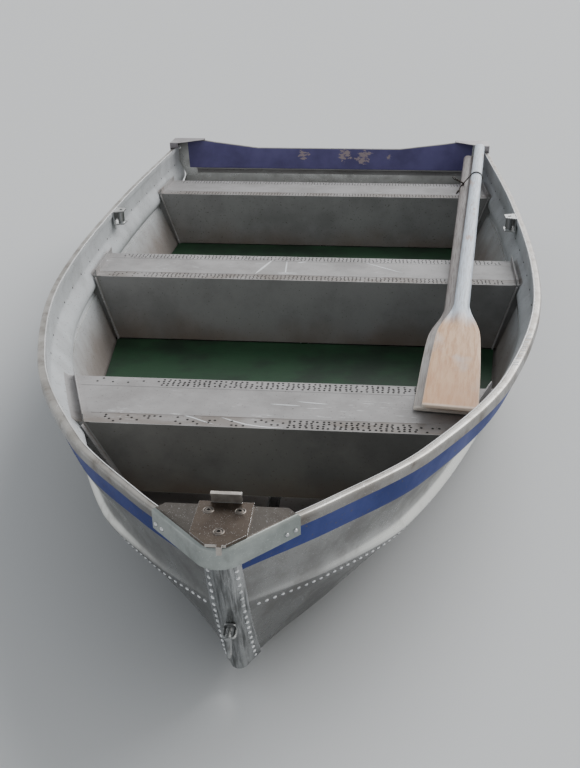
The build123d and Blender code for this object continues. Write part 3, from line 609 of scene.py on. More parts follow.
# %% [markdown]
# ## Side sheets
# One sheet makes the side of the boat, from under the gunwale to the lap over
# the bottom. It is pressed: the stripe's band stands upright, a hollow band
# below it turns softly into a ledge that faces the sky, and the ledge ends in
# a sharp knuckle. The blue stripe is a band of faces with its own paint, so
# its edges stay crisp, and the inside of the sheet takes the grey enamel.

# %% Side and bottom sheets
sides = (("port", 1), ("starboard", -1))
# columns: corner, reach of its bend, steps; and the parts of the straight that leads to a corner
side_bends = {2: (7, 3), 3: (34, 8), 4: (2.2, 2), 5: (3, 2)}
side_parts = {2: 2, 3: 4, 4: 2, 6: 2}
bottom_bends = {1: (16, 4)}
bottom_parts = {1: 8, 2: 16}
stripe_places = range(1, 5)


def hull_rings(places, hand, outline):
    """The outline of the section at each of some places along the boat."""
    rows = [section_at(s) for s in places]
    return [[place(row, hand * x, z) for x, z in outline(row)] for row in rows]


def sheet(name, hand, line, bends, parts, stripe, node):
    """A bent sheet with its wall, bare outside, painted grey inside and blue on the stripe."""
    def outline(row):
        outer = rounded(line(row), bends, parts)
        return outer + moved_in(outer, wall)[::-1]

    rings = hull_rings(hull_places, hand, outline)
    count = len(rings[0]) // 2
    finish_at = {i: 1 for i in range(count, 2 * count - 1)} | {i: 2 for i in stripe}
    mesh = rings_mesh(name, [rings], [hull_metal, grey_inside, stripe_blue], finish_at, "ladder")
    add_piece(mesh, replaces=[node])
    print(name, "faces:", len(mesh.polygons))


for side, hand in sides:
    sheet(f"side_sheet_{side}", hand, side_line, side_bends, side_parts, stripe_places, f"side_{side}")
    sheet(f"bottom_sheet_{side}", hand, bottom_line, bottom_bends, bottom_parts, (), f"bottom_{side}")

# %% [markdown]
# ## Gunwales
# The gunwale is an extrusion hooked over the sheet, in two lengths a side: a flat top, a round outer edge, a
# skirt outside and a short leg inside, which was painted with the inside. A small bead along its inner edge
# catches the light, and a bright painted highlight along it keeps that line all the way round.

# %% Gunwales
joint_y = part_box("gunwale_aft_port")[0].y / mm
rail_y = {s: place(section_at(s), 0, section_at(s).top).y for s in hull_places}
joint_place = min(hull_places, key=lambda s: abs(rail_y[s] - joint_y))
joint_gap, joint_clear = 0.6, 4
bead_foot, bead_top, bead_rise = 4.5, 3.4, 1.1
gunwale_bends = {1: (gunwale_round, 6), 4: (1.4, 3)}
# places in the outline, where its points are counted from the foot of the skirt
bead_places, painted_places = range(9, 13), range(13, 15)


def gunwale_line(row):
    """The outline of the extrusion in a section, its outer edge and its bead rounded."""
    edge, inner = row.edge, row.edge - gunwale_width
    slot_in, slot_out = edge - side_inset - wall - fit, edge - side_inset + fit
    corners = [
        (edge, -gunwale_height), (edge, 0), (inner + bead_foot, 0), (inner + bead_top, bead_rise),
        (inner, bead_rise), (inner, -gunwale_lip), (slot_in, -gunwale_lip), (slot_in, -gunwale_web),
        (slot_out, -gunwale_web), (slot_out, -gunwale_height),
    ]
    return [(x, row.top + z) for x, z in rounded(corners, gunwale_bends)]


def rail(name, hand, places, node):
    """One length of the gunwale through some places along the boat."""
    # the bead's faces carry a painted highlight, and the inner leg the grey enamel
    finish_at = {i: 1 for i in bead_places} | {i: 2 for i in painted_places}
    rings = hull_rings(places, hand, gunwale_line)
    mesh = rings_mesh(name, [rings], [gunwale_metal, wear_and_painted_highlight, grey_inside], finish_at)
    add_piece(mesh, replaces=[node])


between_ends = [s for s in hull_places if panel_end + joint_clear < s < joint_place - joint_clear]
fore_places = [panel_end, *between_ends, joint_place - joint_gap]
aft_places = [joint_place] + [s for s in hull_places if s > joint_place + joint_clear]
for side, hand in sides:
    rail(f"gunwale_rail_fore_{side}", hand, fore_places, f"gunwale_fore_{side}")
    rail(f"gunwale_rail_aft_{side}", hand, aft_places, f"gunwale_aft_{side}")
print("gunwale joint at s in mm:", round(joint_place))

# %% [markdown]
# ## Edges of the plates
# A folded or cut plate never has a knife edge. Where a solid's shape is right, a copy of it is merged, its
# flat faces are joined again, and a Bevel of 0.6 to 2.5 mm rounds its edges. The bevel can have a material of
# its own, which is how the bright edges are made here, partly rubbed wear and partly painted highlight. Some
# copies carry a second finish: the rim of the bow plate, the lighter hook, grime with painted shade on top of
# the keel, painted shade on the front and back plates of the seats, and the bare upper edge of the transom's
# pad.

# %% Eased copies
merge_distance = 0.00002


def eased_copy(
    node, name, slot, finish, width, edges=None, segments=2, body="hull", second=None, where=None
):
    """A copy of a solid with its edges rounded, which stands for it, in one finish or two."""
    materials = [material for material in (finish, second, edges) if material]
    work = bmesh.new()
    work.from_mesh(nodes[node].data)
    bmesh.ops.remove_doubles(work, verts=work.verts, dist=merge_distance)
    bmesh.ops.dissolve_limit(work, angle_limit=radians(1), verts=work.verts, edges=work.edges)
    bmesh.ops.recalc_face_normals(work, faces=work.faces)
    for face in work.faces:
        face.material_index = int(where(face)) if where else 0
    mesh = bpy.data.meshes.new(name)
    work.to_mesh(mesh)
    work.free()
    for material in materials:
        mesh.materials.append(material)
    piece = add_piece(mesh, body, replaces=[node])
    bevel = piece.modifiers.new("rounded_edges", "BEVEL")
    bevel.width = width * mm
    bevel.segments = segments
    bevel.limit_method = "ANGLE"
    bevel.angle_limit = radians(crisp_angle)
    bevel.harden_normals = True
    bevel.material = len(materials) - 1 if edges else -1
    return piece


base_thickness, hook_clear, catch_depth = 5, 3, 2.5
plate_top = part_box("bow_plate")[1].z / mm + base_thickness


def is_hook_or_catch(face):
    """Whether a face belongs to the standing hook or the catch at the front of the plate."""
    centre = face.calc_center_median() / mm
    return centre.z > plate_top + hook_clear or centre.y < catch_depth - length / 2


eased_copy(
    "bow_plate", "bow_plate_folded", "bow_aluminium", plate_metal, 0.7, wear_and_painted_highlight,
    second=rim_metal, where=lambda face: abs(face.normal.z) <= 0.9,
)
eased_copy(
    "base_plate", "base_plate_bolted", "base_steel", base_metal, 0.8, wear_and_painted_highlight,
    second=hook_metal, where=is_hook_or_catch,
)
eased_copy("transom", "transom_sheet", "bare_aluminium", hull_metal, 0.8)
eased_copy("transom_angle", "transom_angle_strip", "grey_paint", grey_seat, 0.7)
# columns: solid and piece without their side, slot, finish, then the rounding's width, finish and steps
sided_copies = [
    ("corner_cap", "corner_casting", "gunwale_aluminium", cap_metal, 2.2, None, 3),
    ("rowlock_bracket", "rowlock_socket", "shackle_steel", zinc_metal, 0.8, wear_and_painted_highlight, 2),
    ("strake", "bottom_strake", "bare_aluminium", hull_metal, 2.0, None, 2),
    ("stringer", "floor_stringer", "bare_aluminium", grey_inside, 1.0, None, 2),
]
for side, hand in sides:
    for solid, name, *choices in sided_copies:
        eased_copy(f"{solid}_{side}", f"{name}_{side}", *choices)
# the top of the keel, down in the dark well, takes grime with painted shade
eased_copy(
    "keel", "keel_bar", "bare_aluminium", hull_metal, 2.5, segments=3,
    second=bilge_grime_and_painted_shade, where=lambda face: face.normal.z > 0.5,
)
eased_copy("floor_bearer", "floor_cross_bearer", "bare_aluminium", grey_inside, 1.0)
for part in ("bow", "middle", "aft", "stern"):
    eased_copy(f"floor_{part}", f"floor_panel_{part}", "green_floor", green_paint, 1.2)
eased_copy(
    "transom_pad", "transom_pad_painted", "blue_paint", violet_paint, 1.0,
    second=wood_edge, where=lambda face: face.normal.z > 0.35,
)

# %% [markdown]
# ## Thwarts
# Each seat is a box folded from one sheet, open below. Its top carries two
# bands of punched dimples along its edges against slipping, and a crease on
# the inner side of each band. The front and back plates have a flange along
# their slanting ends, where they meet the hull.

# %% Thwart boxes
seat_lip, sheet_gauge = 20, 2.0
Seat = namedtuple("Seat", "z foot_z panels")
Panel = namedtuple("Panel", "y way top_half foot_half")


def reach(node, y, z, give=4):
    """The furthest x of a node's corners near a place and height."""
    corners = [v.co / mm for v in nodes[node].data.vertices]
    return max(v.x for v in corners if abs(v.y - y) < give and abs(v.z - z) < give)


# a panel is the front or back plate of a seat, with the way it faces and its half breadths above and below
seats = {}
for part in thwart_names:
    node = f"thwart_{part}"
    low, high = (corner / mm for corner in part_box(node))
    seat_z = high.z - seat_lip
    panels = [
        Panel(y, way, reach(node, y, seat_z), reach(node, y, low.z)) for y, way in ((low.y, -1), (high.y, 1))
    ]
    seats[part] = Seat(seat_z, low.z, panels)
    # the upright faces below the top take the darker enamel, which is painted shade
    eased_copy(
        node, f"thwart_box_{part}", "grey_paint", grey_seat, 2.4, seat_edge, 3,
        second=bow_front_painted_shade if part == "bow" else grey_front_painted_shade,
        where=lambda face: face.normal.z <= 0.3 and face.calc_center_median().z / mm <= seat_z + 0.5,
    )

# %% Creases and flanges
crease_inset, crease_width, crease_rise, crease_sunk, crease_end = 46, 4.0, 1.0, 0.3, 6
crease_line = [(-1, -crease_sunk), (-1 / 3, crease_rise), (1 / 3, crease_rise), (1, -crease_sunk)]
flange_reach, flange_top = 13, 3
creases, flanges = [], []
for seat in seats.values():
    for panel in seat.panels:
        half, middle = panel.top_half - crease_end, panel.y - panel.way * crease_inset
        section = [(middle + share * crease_width, seat.z + up) for share, up in crease_line]
        creases.append([[(x, *point) for point in section] for x in (-half, half)])
        out = panel.y + panel.way * flange_reach
        section = [(0, panel.y), (1, out), (-sheet_gauge, out), (-sheet_gauge, panel.y)]
        for hand in (-1, 1):
            flanges.append([
                [(hand * (x + more), at, z) for more, at in section]
                for x, z in ((panel.top_half, seat.z - flange_top), (panel.foot_half, seat.foot_z))
            ])
add_piece(rings_mesh("thwart_creases", creases, [grey_seat]), crisp=60)
add_piece(rings_mesh("thwart_end_flanges", flanges, [grey_seat]), crisp=30)
print("creases:", len(creases), "flanges:", len(flanges))

# %% [markdown]
# ## Where the seats meet the hull
# The seats don't end short of the hull: a lip along the end of the top turns
# up against the side sheet, and the front and back plates reach the sheet
# behind their flanges. Both follow the pressed flank, so their outer edge is
# read from the eased sections at every height.


# %% Seat ends
def breadth_at(row, z, line, bends, inward=0.0):
    """Half breadth of a line of the section at a height."""
    outline = rounded(line(row), bends)
    outline = moved_in(outline, inward) if inward else outline
    for a, b in zip(outline, outline[1:]):
        if b.y <= z <= a.y and a.y > b.y:
            return a.x + (b.x - a.x) * (a.y - z) / (a.y - b.y)
    return outline[0].x if z > outline[0].y else outline[-1].x


def inner_breadth(y, z):
    """Half breadth inside the sheets at a place along the boat and a height."""
    row = section_at(y + length / 2)
    row = section_at(y + length / 2 - (row.top - z) * tan(radians(row.rake)))
    on_side = z > row.knuckle_z - 2 * return_drop
    line, bends = (side_line, side_bends) if on_side else (bottom_line, bottom_bends)
    return breadth_at(row, z, line, bends, wall)


lip_rise, lip_fall, lip_root, lip_steps = 9, 1.5, 14, 6
plate_overlap, plate_proud, plate_steps, tuck = 5, 0.4, 14, 1.2
lips, plates = [], []
for seat in seats.values():
    front, back = (Vector((panel.y, panel.top_half)) for panel in seat.panels)
    for hand in (-1, 1):
        rings = []
        for k in range(lip_steps + 1):
            y, half = front.lerp(back, k / lip_steps)
            against = lambda rise: inner_breadth(y, seat.z + rise) + tuck
            section = [
                (half - lip_root, 0.4), (against(0.8) - 4, 0.8), (against(lip_rise) - 1, lip_rise),
                (against(lip_rise), lip_rise), (against(lip_rise / 2), lip_rise / 2), (against(0), 0),
                (against(-lip_fall) - 1, -lip_fall), (half - lip_root, -lip_fall),
            ]
            rings.append([(hand * x, y, seat.z + rise) for x, rise in section])
        lips.append(rings)
        for panel in seat.panels:
            rings = []
            for k in range(plate_steps + 1):
                t = k / plate_steps
                z = seat.z + (seat.foot_z - seat.z) * t
                inner = panel.top_half + (panel.foot_half - panel.top_half) * t - plate_overlap
                outer = max(inner_breadth(panel.y, z) + tuck, inner + 0.5)
                ahead, behind = panel.y + panel.way * plate_proud, panel.y - panel.way * sheet_gauge
                corners = [(inner, ahead), (outer, ahead), (outer, behind), (inner, behind)]
                rings.append([(hand * x, at, z) for x, at in corners])
            plates.append(rings)
add_piece(rings_mesh("thwart_end_lips", lips, [grey_seat]), crisp=40)
add_piece(rings_mesh("thwart_end_plates", plates, [grey_front_painted_shade]), crisp=40)
print("end lips:", len(lips), "end plates:", len(plates))

# %% [markdown]
# ## Stem cap and shackle
# A plate folded round the stem closes the bow. Its two legs lie flat on the sheets and its nose is a fold,
# wide at the top and tight at the foot. The solid runs straight between a few heights. Here the same rule is
# worked out at many heights, and the free edges of the legs carry a painted highlight, which draws the thin
# line down the bow. Below it hangs the shackle in its eye. The head of its pin is cut a little short, so that
# it clears the base of the eye when the shackle stands out.

# %% Stem cap
cap_half_top, cap_half_foot, cap_wall, cap_gap = 28.5, 34, 2, 0.9
cap_round_top, cap_round_foot = 24, 12
cap_high, cap_low, foot_height = bow_top - 8, 59, 50
# the first is the width, in mm, of the painted highlight strip at each leg's end
bright_edge, fold_steps, cap_steps, lap_fade = 2.4, 12, 44, 70
head_cut = 2.5


def cap_side(z):
    """The cap's flat side at a height: Y of the sheets' meeting point and breadth gained per length."""
    ends = []
    for row in section_rows[:2]:
        lap_edge = row.knuckle_z - seam_lap
        if z > lap_edge:
            half = breadth_at(row, z, side_line, side_bends)
        else:
            step_out = side_line(row)[-1][0] - breadth_at(row, lap_edge, bottom_line, {})
            half = breadth_at(row, z, bottom_line, {}) + step_out * max(0, 1 - (lap_edge - z) / lap_fade)
        ends.append((half, place(row, 0, z).y))
    (x0, y0), (x1, y1) = ends
    slope = (x1 - x0) / (y1 - y0)
    return y0 - x0 / slope, slope


def cap_leg(z):
    """Half breadth at which the cap's legs end, and the radius inside its fold."""
    share = (bow_top - z) / (bow_top - foot_height)
    return Vector((cap_half_top, cap_round_top)).lerp(Vector((cap_half_foot, cap_round_foot)), share)


def cap_half_line(z, grow):
    """The cap's line from its port leg's end to the middle of the fold, moved out from the sheets."""
    meeting, slope = cap_side(z)
    leg, inner_radius = cap_leg(z)
    lean = sqrt(1 + slope * slope)
    apex = meeting - grow * lean / slope
    radius = inner_radius + grow
    turn = pi / 2 - atan(slope)
    middle = apex + radius * lean / slope
    end = Vector((leg, apex + leg / slope))
    strip_start = end - Vector((slope, 1)) / lean * bright_edge
    bend = [turn * (1 - k / fold_steps) for k in range(fold_steps + 1)]
    return [end, strip_start] + [Vector((radius * sin(a), middle - radius * cos(a))) for a in bend]


rings = []
for step in range(cap_steps + 1):
    z = cap_high + (cap_low - cap_high) * step / cap_steps
    outer, inner = (cap_half_line(z, grow) for grow in (cap_gap + cap_wall, cap_gap))
    outer, inner = (line + [Vector((-p.x, p.y)) for p in line[-2::-1]] for line in (outer, inner))
    rings.append([(p.x, p.y, z) for p in outer + inner[::-1]])
last = len(rings[0]) // 2 - 1
# the outer strip at each leg's end and the legs' end faces carry a painted highlight
painted_highlight_strips = {i: 1 for i in (0, last - 1, last, 2 * last + 1)}
mesh = rings_mesh("stem_cap_folded", [rings], [stem_metal, wear_and_painted_highlight], painted_highlight_strips, "ladder")
add_piece(mesh, replaces=["stem_cap"])
eased_copy("bow_eye", "bow_eye_staple", "shackle_steel", zinc_metal, 0.6)
bow_shackle = eased_copy("bow_shackle", "bow_shackle_bent", "shackle_steel", zinc_metal, 0.6, body="shackle")
pin_front = min(v.co.y for v in bow_shackle.data.vertices)
for v in bow_shackle.data.vertices:
    if v.co.y < pin_front + 0.1 * mm:
        v.co.y += head_cut * mm
print("stem cap faces:", len(mesh.polygons))

# %% [markdown]
# ## Oars
# An oar is one piece of wood: a thin blade with round shoulders, out of which
# the shaft grows as a ridge. Each ring across it holds the greater of two
# round-edged shapes, the flat of the blade and the swelling shaft, so the two
# flow into each other. Its UV map runs along the wood for the grain.

# %% Oars
blade_end, shaft_start, oar_half, oar_rise, tip_back = 545, 300, 20.5, 19, 42
tip_round, end_round, handle_width, handle_inset = 6, 16, 39, 120
ring_points, shaft_steps, blade_steps, blade_step = 32, 24, 46, 12
# the blade's half thickness at its tip, what it gains and how far along, and the share at the very end
tip_rise, rise_gain, gain_length, end_share = 4.2, 1.8, 350, 0.55
# how square the blade's and the ridge's sections are, how sharply they meet, and the ridge's first breadth
blade_power, ridge_power, meeting_power, ridge_share = 9, 2.5, 4, 0.45
# columns: distance from the tip, half breadth of the blade
blade_rows = [
    (0, 60), (190, 58.5), (330, 55), (385, 51.5), (425, 44.5), (462, 35.5), (500, 26.5), (blade_end, 20.5)
]
thwart_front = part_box("thwart_bow")[0].y / mm
seat_height = seats["bow"].z
handle_place = length - handle_inset
handle_x = section_at(handle_place).edge - gunwale_width - handle_width / 2
upper_tip = Vector((382, thwart_front + tip_back, seat_height + 41))
upper_end = Vector((handle_x, handle_place - length / 2, sheer + stern_lift + 1 + handle_width / 2))
lower_tip = Vector((368, thwart_front + tip_back + 50, seat_height + 7))
lower_end = upper_end - Vector((43, 0, 50))


def swollen(share, power):
    """How high a round-edged shape stands, from 1 in its middle to 0 at its edge."""
    return (1 - abs(share) ** power) ** (1 / power)


def add_oar(name, tip, end, wood, node):
    """An oar from the middle of its blade's tip to the end of its handle."""
    run = (end - tip).length
    ahead = (end - tip).normalized()
    sideways = Vector((-ahead.y, ahead.x, 0)).normalized()
    upwards = ahead.cross(sideways)
    stops = [0, 1, 2.5, 5, 8] + [14 + blade_step * k for k in range(blade_steps)]
    stops += [stops[-1] + (run - end_round - stops[-1]) * k / shaft_steps for k in range(1, shaft_steps + 1)]
    stops += [run - 8, run - 3, run]
    rings = []
    angles = [2 * pi * k / ring_points for k in range(ring_points)]
    for u in stops:
        corner = sqrt(max(0, 1 - (max(0, tip_round - u) / tip_round) ** 2))
        ending = sqrt(max(0.02, 1 - (max(0, u - run + end_round) / (end_round + 1)) ** 2))
        on_blade = u < blade_end
        half = max(eased_row(blade_rows, u)[1] if on_blade else 0, oar_half) - tip_round * (1 - corner)
        blade_rise = (tip_rise + rise_gain * min(1, u / gain_length)) if on_blade else 0
        blade_rise *= end_share + (1 - end_share) * corner
        grown = min(1, max(0, (u - shaft_start) / (blade_end - shaft_start)))
        grown = grown * grown * (3 - 2 * grown)
        ring = []
        for angle in angles:
            flat = blade_rise * swollen(cos(angle), blade_power)
            ridge_half = oar_half * (ridge_share + (1 - ridge_share) * grown)
            inside = min(1, abs(half * cos(angle)) / ridge_half)
            ridge = oar_rise * grown * swollen(inside, ridge_power)
            rise = (flat ** meeting_power + ridge ** meeting_power) ** (1 / meeting_power)
            rise *= 1 if sin(angle) >= 0 else -1
            ring.append(tip + ahead * u + (sideways * half * cos(angle) + upwards * rise) * ending)
        rings.append(ring)
    mesh = rings_mesh(name, [rings], [wood], ends="ladder")
    layer = mesh.uv_layers.new(name="along_the_wood")
    for polygon in mesh.polygons:
        spots = [divmod(mesh.loops[i].vertex_index, ring_points) for i in polygon.loop_indices]
        wraps = max(k for j, k in spots) > ring_points - 2 and min(k for j, k in spots) < 2
        for i, (j, k) in zip(polygon.loop_indices, spots):
            turn = (k + ring_points if wraps and k < 2 else k) / ring_points
            layer.data[i].uv = (stops[j] * mm, turn * oar_girth)
    add_piece(mesh, "oars", 50, [node])


add_oar("oar_upper_shaped", upper_tip, upper_end, white_oar, "oar_upper")
add_oar("oar_lower_shaped", lower_tip, lower_end, grey_oar, "oar_lower")
print("oar length in mm:", round((upper_end - upper_tip).length))

# %% [markdown]
# ## The wire round the oars
# A rusty wire holds the oars together: two turns round both shafts, and its
# ends twisted on each other. Its centre lines are worked out as points, and a
# bevelled curve gives them their thickness.

# %% Wire tie
wire_radius, tie_place = 1.9, 2454 - length / 2
wire_clear = oar_half + wire_radius
turns, turn_steps, turn_pitch = 2, 32, 5
tail_steps, tail_twists = 24, 5
# the loose ends of the twisted tails, from the knot
tail_ends = [Vector((-46, -8, 26)), Vector((-30, -22, -34))]
centre_lines = ((upper_tip, upper_end), (lower_tip, lower_end))
upper_centre, lower_centre = (
    tip.lerp(end, (tie_place - tip.y) / (end.y - tip.y)) for tip, end in centre_lines
)
oar_way = (upper_end - upper_tip).normalized()
across_oars = Vector((oar_way.y, -oar_way.x, 0)).normalized()
up_from_oars = across_oars.cross(oar_way)
loop = []
for k in range(turns * turn_steps + 1):
    angle = pi + 2 * pi * k / turn_steps
    out = across_oars * cos(angle) + up_from_oars * sin(angle)
    centre = upper_centre if out.dot(upper_centre - lower_centre) > 0 else lower_centre
    loop.append(centre + out * wire_clear + oar_way * turn_pitch * (k / turn_steps - 1))
knot = upper_centre.lerp(lower_centre, 0.5) - across_oars * (wire_clear + wire_radius)
strands = [loop]
for tail_end, phase in zip(tail_ends, (0, pi)):
    for strand in (0, pi):
        tail = []
        for t in (k / tail_steps for k in range(tail_steps + 1)):
            away = 2.0 * (1 - t) + 5 * t * t
            spin = phase + strand + tail_twists * 2 * pi * t * (1 - 0.4 * t)
            tail.append(knot + tail_end * t + Vector((0, away * cos(spin), away * sin(spin))))
        strands.append(tail)

wire_curve = bpy.data.curves.new("oar_tie", "CURVE")
wire_curve.dimensions = "3D"
wire_curve.bevel_depth = wire_radius * mm
wire_curve.bevel_resolution = 2
wire_curve.use_fill_caps = True
for strand in strands:
    spline = wire_curve.splines.new("POLY")
    spline.points.add(len(strand) - 1)
    for spot, point in zip(spline.points, strand):
        spot.co = (*(point * mm), 1)
wire_source = bpy.data.objects.new("oar_tie_source", wire_curve)
mesh = bpy.data.meshes.new_from_object(wire_source)
bpy.data.objects.remove(wire_source)
mesh.name = "oar_tie_wire"
mesh.materials.clear()
mesh.materials.append(wire_metal)
add_piece(mesh, "oars", 60)
print("wire faces:", len(mesh.polygons))

# %% [markdown]
# ## Rivets
# The hull is held by hundreds of rivets in rows that follow the seams. One
# geometry tree makes them all: it takes lines whose points know which way the
# surface faces there, divides them into equal steps and sets a small dome on
# each. The lines come from the same sections as the sheets.


# %% Trees and lines
def geometry_tree(name, inputs):
    """A new geometry tree with named inputs, and the sockets that give them."""
    tree = bpy.data.node_groups.new(name, "GeometryNodeTree")
    tree.interface.new_socket("Geometry", in_out="INPUT", socket_type="NodeSocketGeometry")
    for label, kind in inputs.items():
        tree.interface.new_socket(label, in_out="INPUT", socket_type="NodeSocket" + kind)
    tree.interface.new_socket("Geometry", in_out="OUTPUT", socket_type="NodeSocketGeometry")
    return tree, add_node(tree, "NodeGroupInput").node.outputs


def finish_tree(tree, geometry, material):
    """Ends a tree: its instances become real faces with one material."""
    real = add_node(tree, "GeometryNodeRealizeInstances", {0: geometry})
    finished = add_node(tree, "GeometryNodeSetMaterial", {"Geometry": real, "Material": material})
    add_node(tree, "NodeGroupOutput", {0: finished})


def grown(name, tree, start_mesh, values, slot):
    """Runs a tree on a mesh and keeps the result as a plain piece on the hull."""
    source = bpy.data.objects.new(name + "_source", start_mesh)
    bpy.context.scene.collection.objects.link(source)
    modifier = source.modifiers.new("make", "NODES")
    modifier.node_group = tree
    for socket in tree.interface.items_tree:
        if socket.in_out == "INPUT" and socket.name in values:
            modifier[socket.identifier] = values[socket.name]
    graph = bpy.context.evaluated_depsgraph_get()
    mesh = bpy.data.meshes.new_from_object(source.evaluated_get(graph))
    bpy.data.objects.remove(source)
    mesh.name = name
    return add_piece(mesh, crisp=40)


def line_mesh(lines):
    """Edges through rows of points in millimetres, each with the way it faces."""
    mesh = bpy.data.meshes.new("lines")
    edges = []
    for line in lines:
        start = edges[-1][1] + 1 if edges else 0
        edges += [(start + i, start + i + 1) for i in range(len(line) - 1)]
    mesh.from_pydata([point * mm for line in lines for point, facing in line], edges, [])
    facings = mesh.attributes.new("facing", "FLOAT_VECTOR", "POINT")
    facings.data.foreach_set("vector", [v for line in lines for point, facing in line for v in facing])
    return mesh


dome_parts = {"Segments": 10, "Rings": 6}
rivet_tree, given = geometry_tree(
    "rivets_on_lines", {"Spacing": "Float", "Radius": "Float", "Rise": "Float", "Material": "Material"}
)
curve = add_node(rivet_tree, "GeometryNodeMeshToCurve", {"Mesh": given["Geometry"]})
spots = {"Curve": curve, "Length": given["Spacing"]}
spots = add_node(rivet_tree, "GeometryNodeResampleCurve", spots, mode="LENGTH")
facing = add_node(
    rivet_tree, "GeometryNodeInputNamedAttribute", {"Name": "facing"}, "Attribute", data_type="FLOAT_VECTOR"
)
turn = add_node(rivet_tree, "FunctionNodeAlignRotationToVector", {"Vector": facing}, axis="Z")
dome = add_node(rivet_tree, "GeometryNodeMeshUVSphere", {**dome_parts, "Radius": 1.0}, "Mesh")
size = {0: given["Radius"], 1: given["Radius"], 2: given["Rise"]}
size = add_node(rivet_tree, "ShaderNodeCombineXYZ", size)
placed = {"Points": spots, "Instance": dome, "Rotation": turn, "Scale": size}
placed = add_node(rivet_tree, "GeometryNodeInstanceOnPoints", placed)
finish_tree(rivet_tree, placed, given["Material"])
print("nodes in the rivet tree:", len(rivet_tree.nodes))

# %% Rows of rivets
# how far apart points are taken to find the way a surface faces
small_step, small_drop = 4, 1.5


def skin(s, z, hand, lower=False, inside=False):
    """A point of the hull sheets at a section and height, and the way it faces."""
    line, bends = (bottom_line, bottom_bends) if lower else (side_line, side_bends)
    inward = wall if inside else 0
    here, beside, below = (
        place(section_at(at), hand * breadth_at(section_at(at), height_at, line, bends, inward), height_at)
        for at, height_at in ((s, z), (s - small_step, z), (s, z - small_drop))
    )
    facing = (beside - here).cross(below - here).normalized()
    outward = facing.dot(Vector((hand, 0, -0.6))) > 0
    return here, facing if outward != inside else -facing


def stepped(start, end, step):
    """Evenly spaced values from start to end."""
    count = ceil(abs(end - start) / step)
    return [start + (end - start) * k / count for k in range(count + 1)]


def bottom_point(s, x, hand):
    """A point of the bottom sheet at a breadth between the keel and the chine, and the way it faces."""
    row = section_at(s)
    inner = keel_width / 2 + keel_gap
    z = row.keel_z + (row.chine_z - row.keel_z) * (x - inner) / (row.chine - inner)
    return skin(s, z, hand, lower=True)


def cap_point(z, hand, from_edge):
    """A point of the cap's outer face, a distance inboard of the leg's end, and the way it faces."""
    spots = []
    for height_at in (z, z - small_step):
        meeting, slope = cap_side(height_at)
        apex = meeting - (cap_gap + cap_wall) * sqrt(1 + slope * slope) / slope
        x = cap_leg(height_at)[0] - from_edge
        spots.append(Vector((hand * x, apex + x / slope, height_at)))
    facing = Vector((hand * slope, 1, 0)).cross(spots[1] - spots[0]).normalized()
    return spots[0], facing if facing.x * hand > 0 else -facing


lap_drop, press_drop, cap_inset, rim_height = 16, 68, 7.5, 402
stern_seam = section_rows[-1].s - 16
hands = (1, -1)
# every stepped line of places or heights has its start, its end and its step in millimetres
lap_rows = [
    [skin(s, section_at(s).knuckle_z - lap_drop, hand) for s in stepped(41, 3010, 14)] for hand in hands
]
cap_rows = [[cap_point(z, hand, cap_inset) for z in stepped(392, 68, 6)] for hand in hands]
press_rows = [
    [skin(s, section_at(s).top - press_drop, hand, inside=True) for s in stepped(first, 2930, 20)]
    for hand, first in ((1, 960), (-1, 900))
]
# columns: heights, and whether they are on the bottom sheet
stern_heights = [((335, 222, 8), False), ((186, 52, 6), True), ((44, 24, 1), True)]
stern_rows = [
    [skin(stern_seam, z, hand, lower) for z in stepped(*heights)]
    for heights, lower in stern_heights for hand in hands
]
keel_rows = [[bottom_point(s, 27, hand) for s in stepped(480, 2940, 30)] for hand in hands]
strake_rows = [
    [bottom_point(s, x, hand) for s in stepped(960, 2880, 30)] for hand in hands for x in (279, 321)
]
rim_rows = []
for hand in hands:
    outwards = Vector((hand, -1, 0)).normalized()
    spots = [Vector((hand * x, x + nose_apex - length / 2, rim_height)) for x in (95, 107)]
    rim_rows.append([(spot, outwards) for spot in spots])
bolt_rows = [[skin(s, 285, hand) for s in (540, 640)] for hand in hands]
# columns: name, lines, spacing, radius, rise, material, slot
rivet_kinds = [
    ("lap_rivets", lap_rows, 16.3, 3.9, 2.3, rivet_metal, "bare_aluminium"),
    ("stem_rivets", cap_rows, 21.0, 3.9, 2.6, rivet_metal, "stem_aluminium"),
    ("press_line_rivets", press_rows, 116.0, 3.2, 1.5, dull_rivet, "grey_paint"),
    ("stern_rivets", stern_rows, 28.0, 3.9, 2.2, rivet_metal, "bare_aluminium"),
    ("keel_rivets", keel_rows, 45.0, 3.9, 2.2, rivet_metal, "bare_aluminium"),
    ("strake_rivets", strake_rows, 60.0, 3.9, 2.2, rivet_metal, "bare_aluminium"),
    ("rim_rivets", rim_rows, 16.5, 4.0, 3.2, rivet_metal, "bow_aluminium"),
    ("side_bolts", bolt_rows, 100.0, 4.6, 2.2, dull_rivet, "bare_aluminium"),
]
for name, lines, spacing, radius, rise, material, slot in rivet_kinds:
    values = {"Spacing": spacing * mm, "Radius": radius * mm, "Rise": rise * mm, "Material": material}
    piece = grown(name, rivet_tree, line_mesh(lines), values, slot)
    print(name, len(piece.data.polygons) // (dome_parts["Segments"] * dome_parts["Rings"]))

# %% [markdown]
# ## Punched treads
# The seats were punched from above in rows of small dimples, so that wet feet don't slip. Each dimple shows
# as a small black disc. A second tree lays a grid of dimples on a band, moves each a little, and drops some:
# nearly none where the band is dense, and half of them or more outside that stretch.

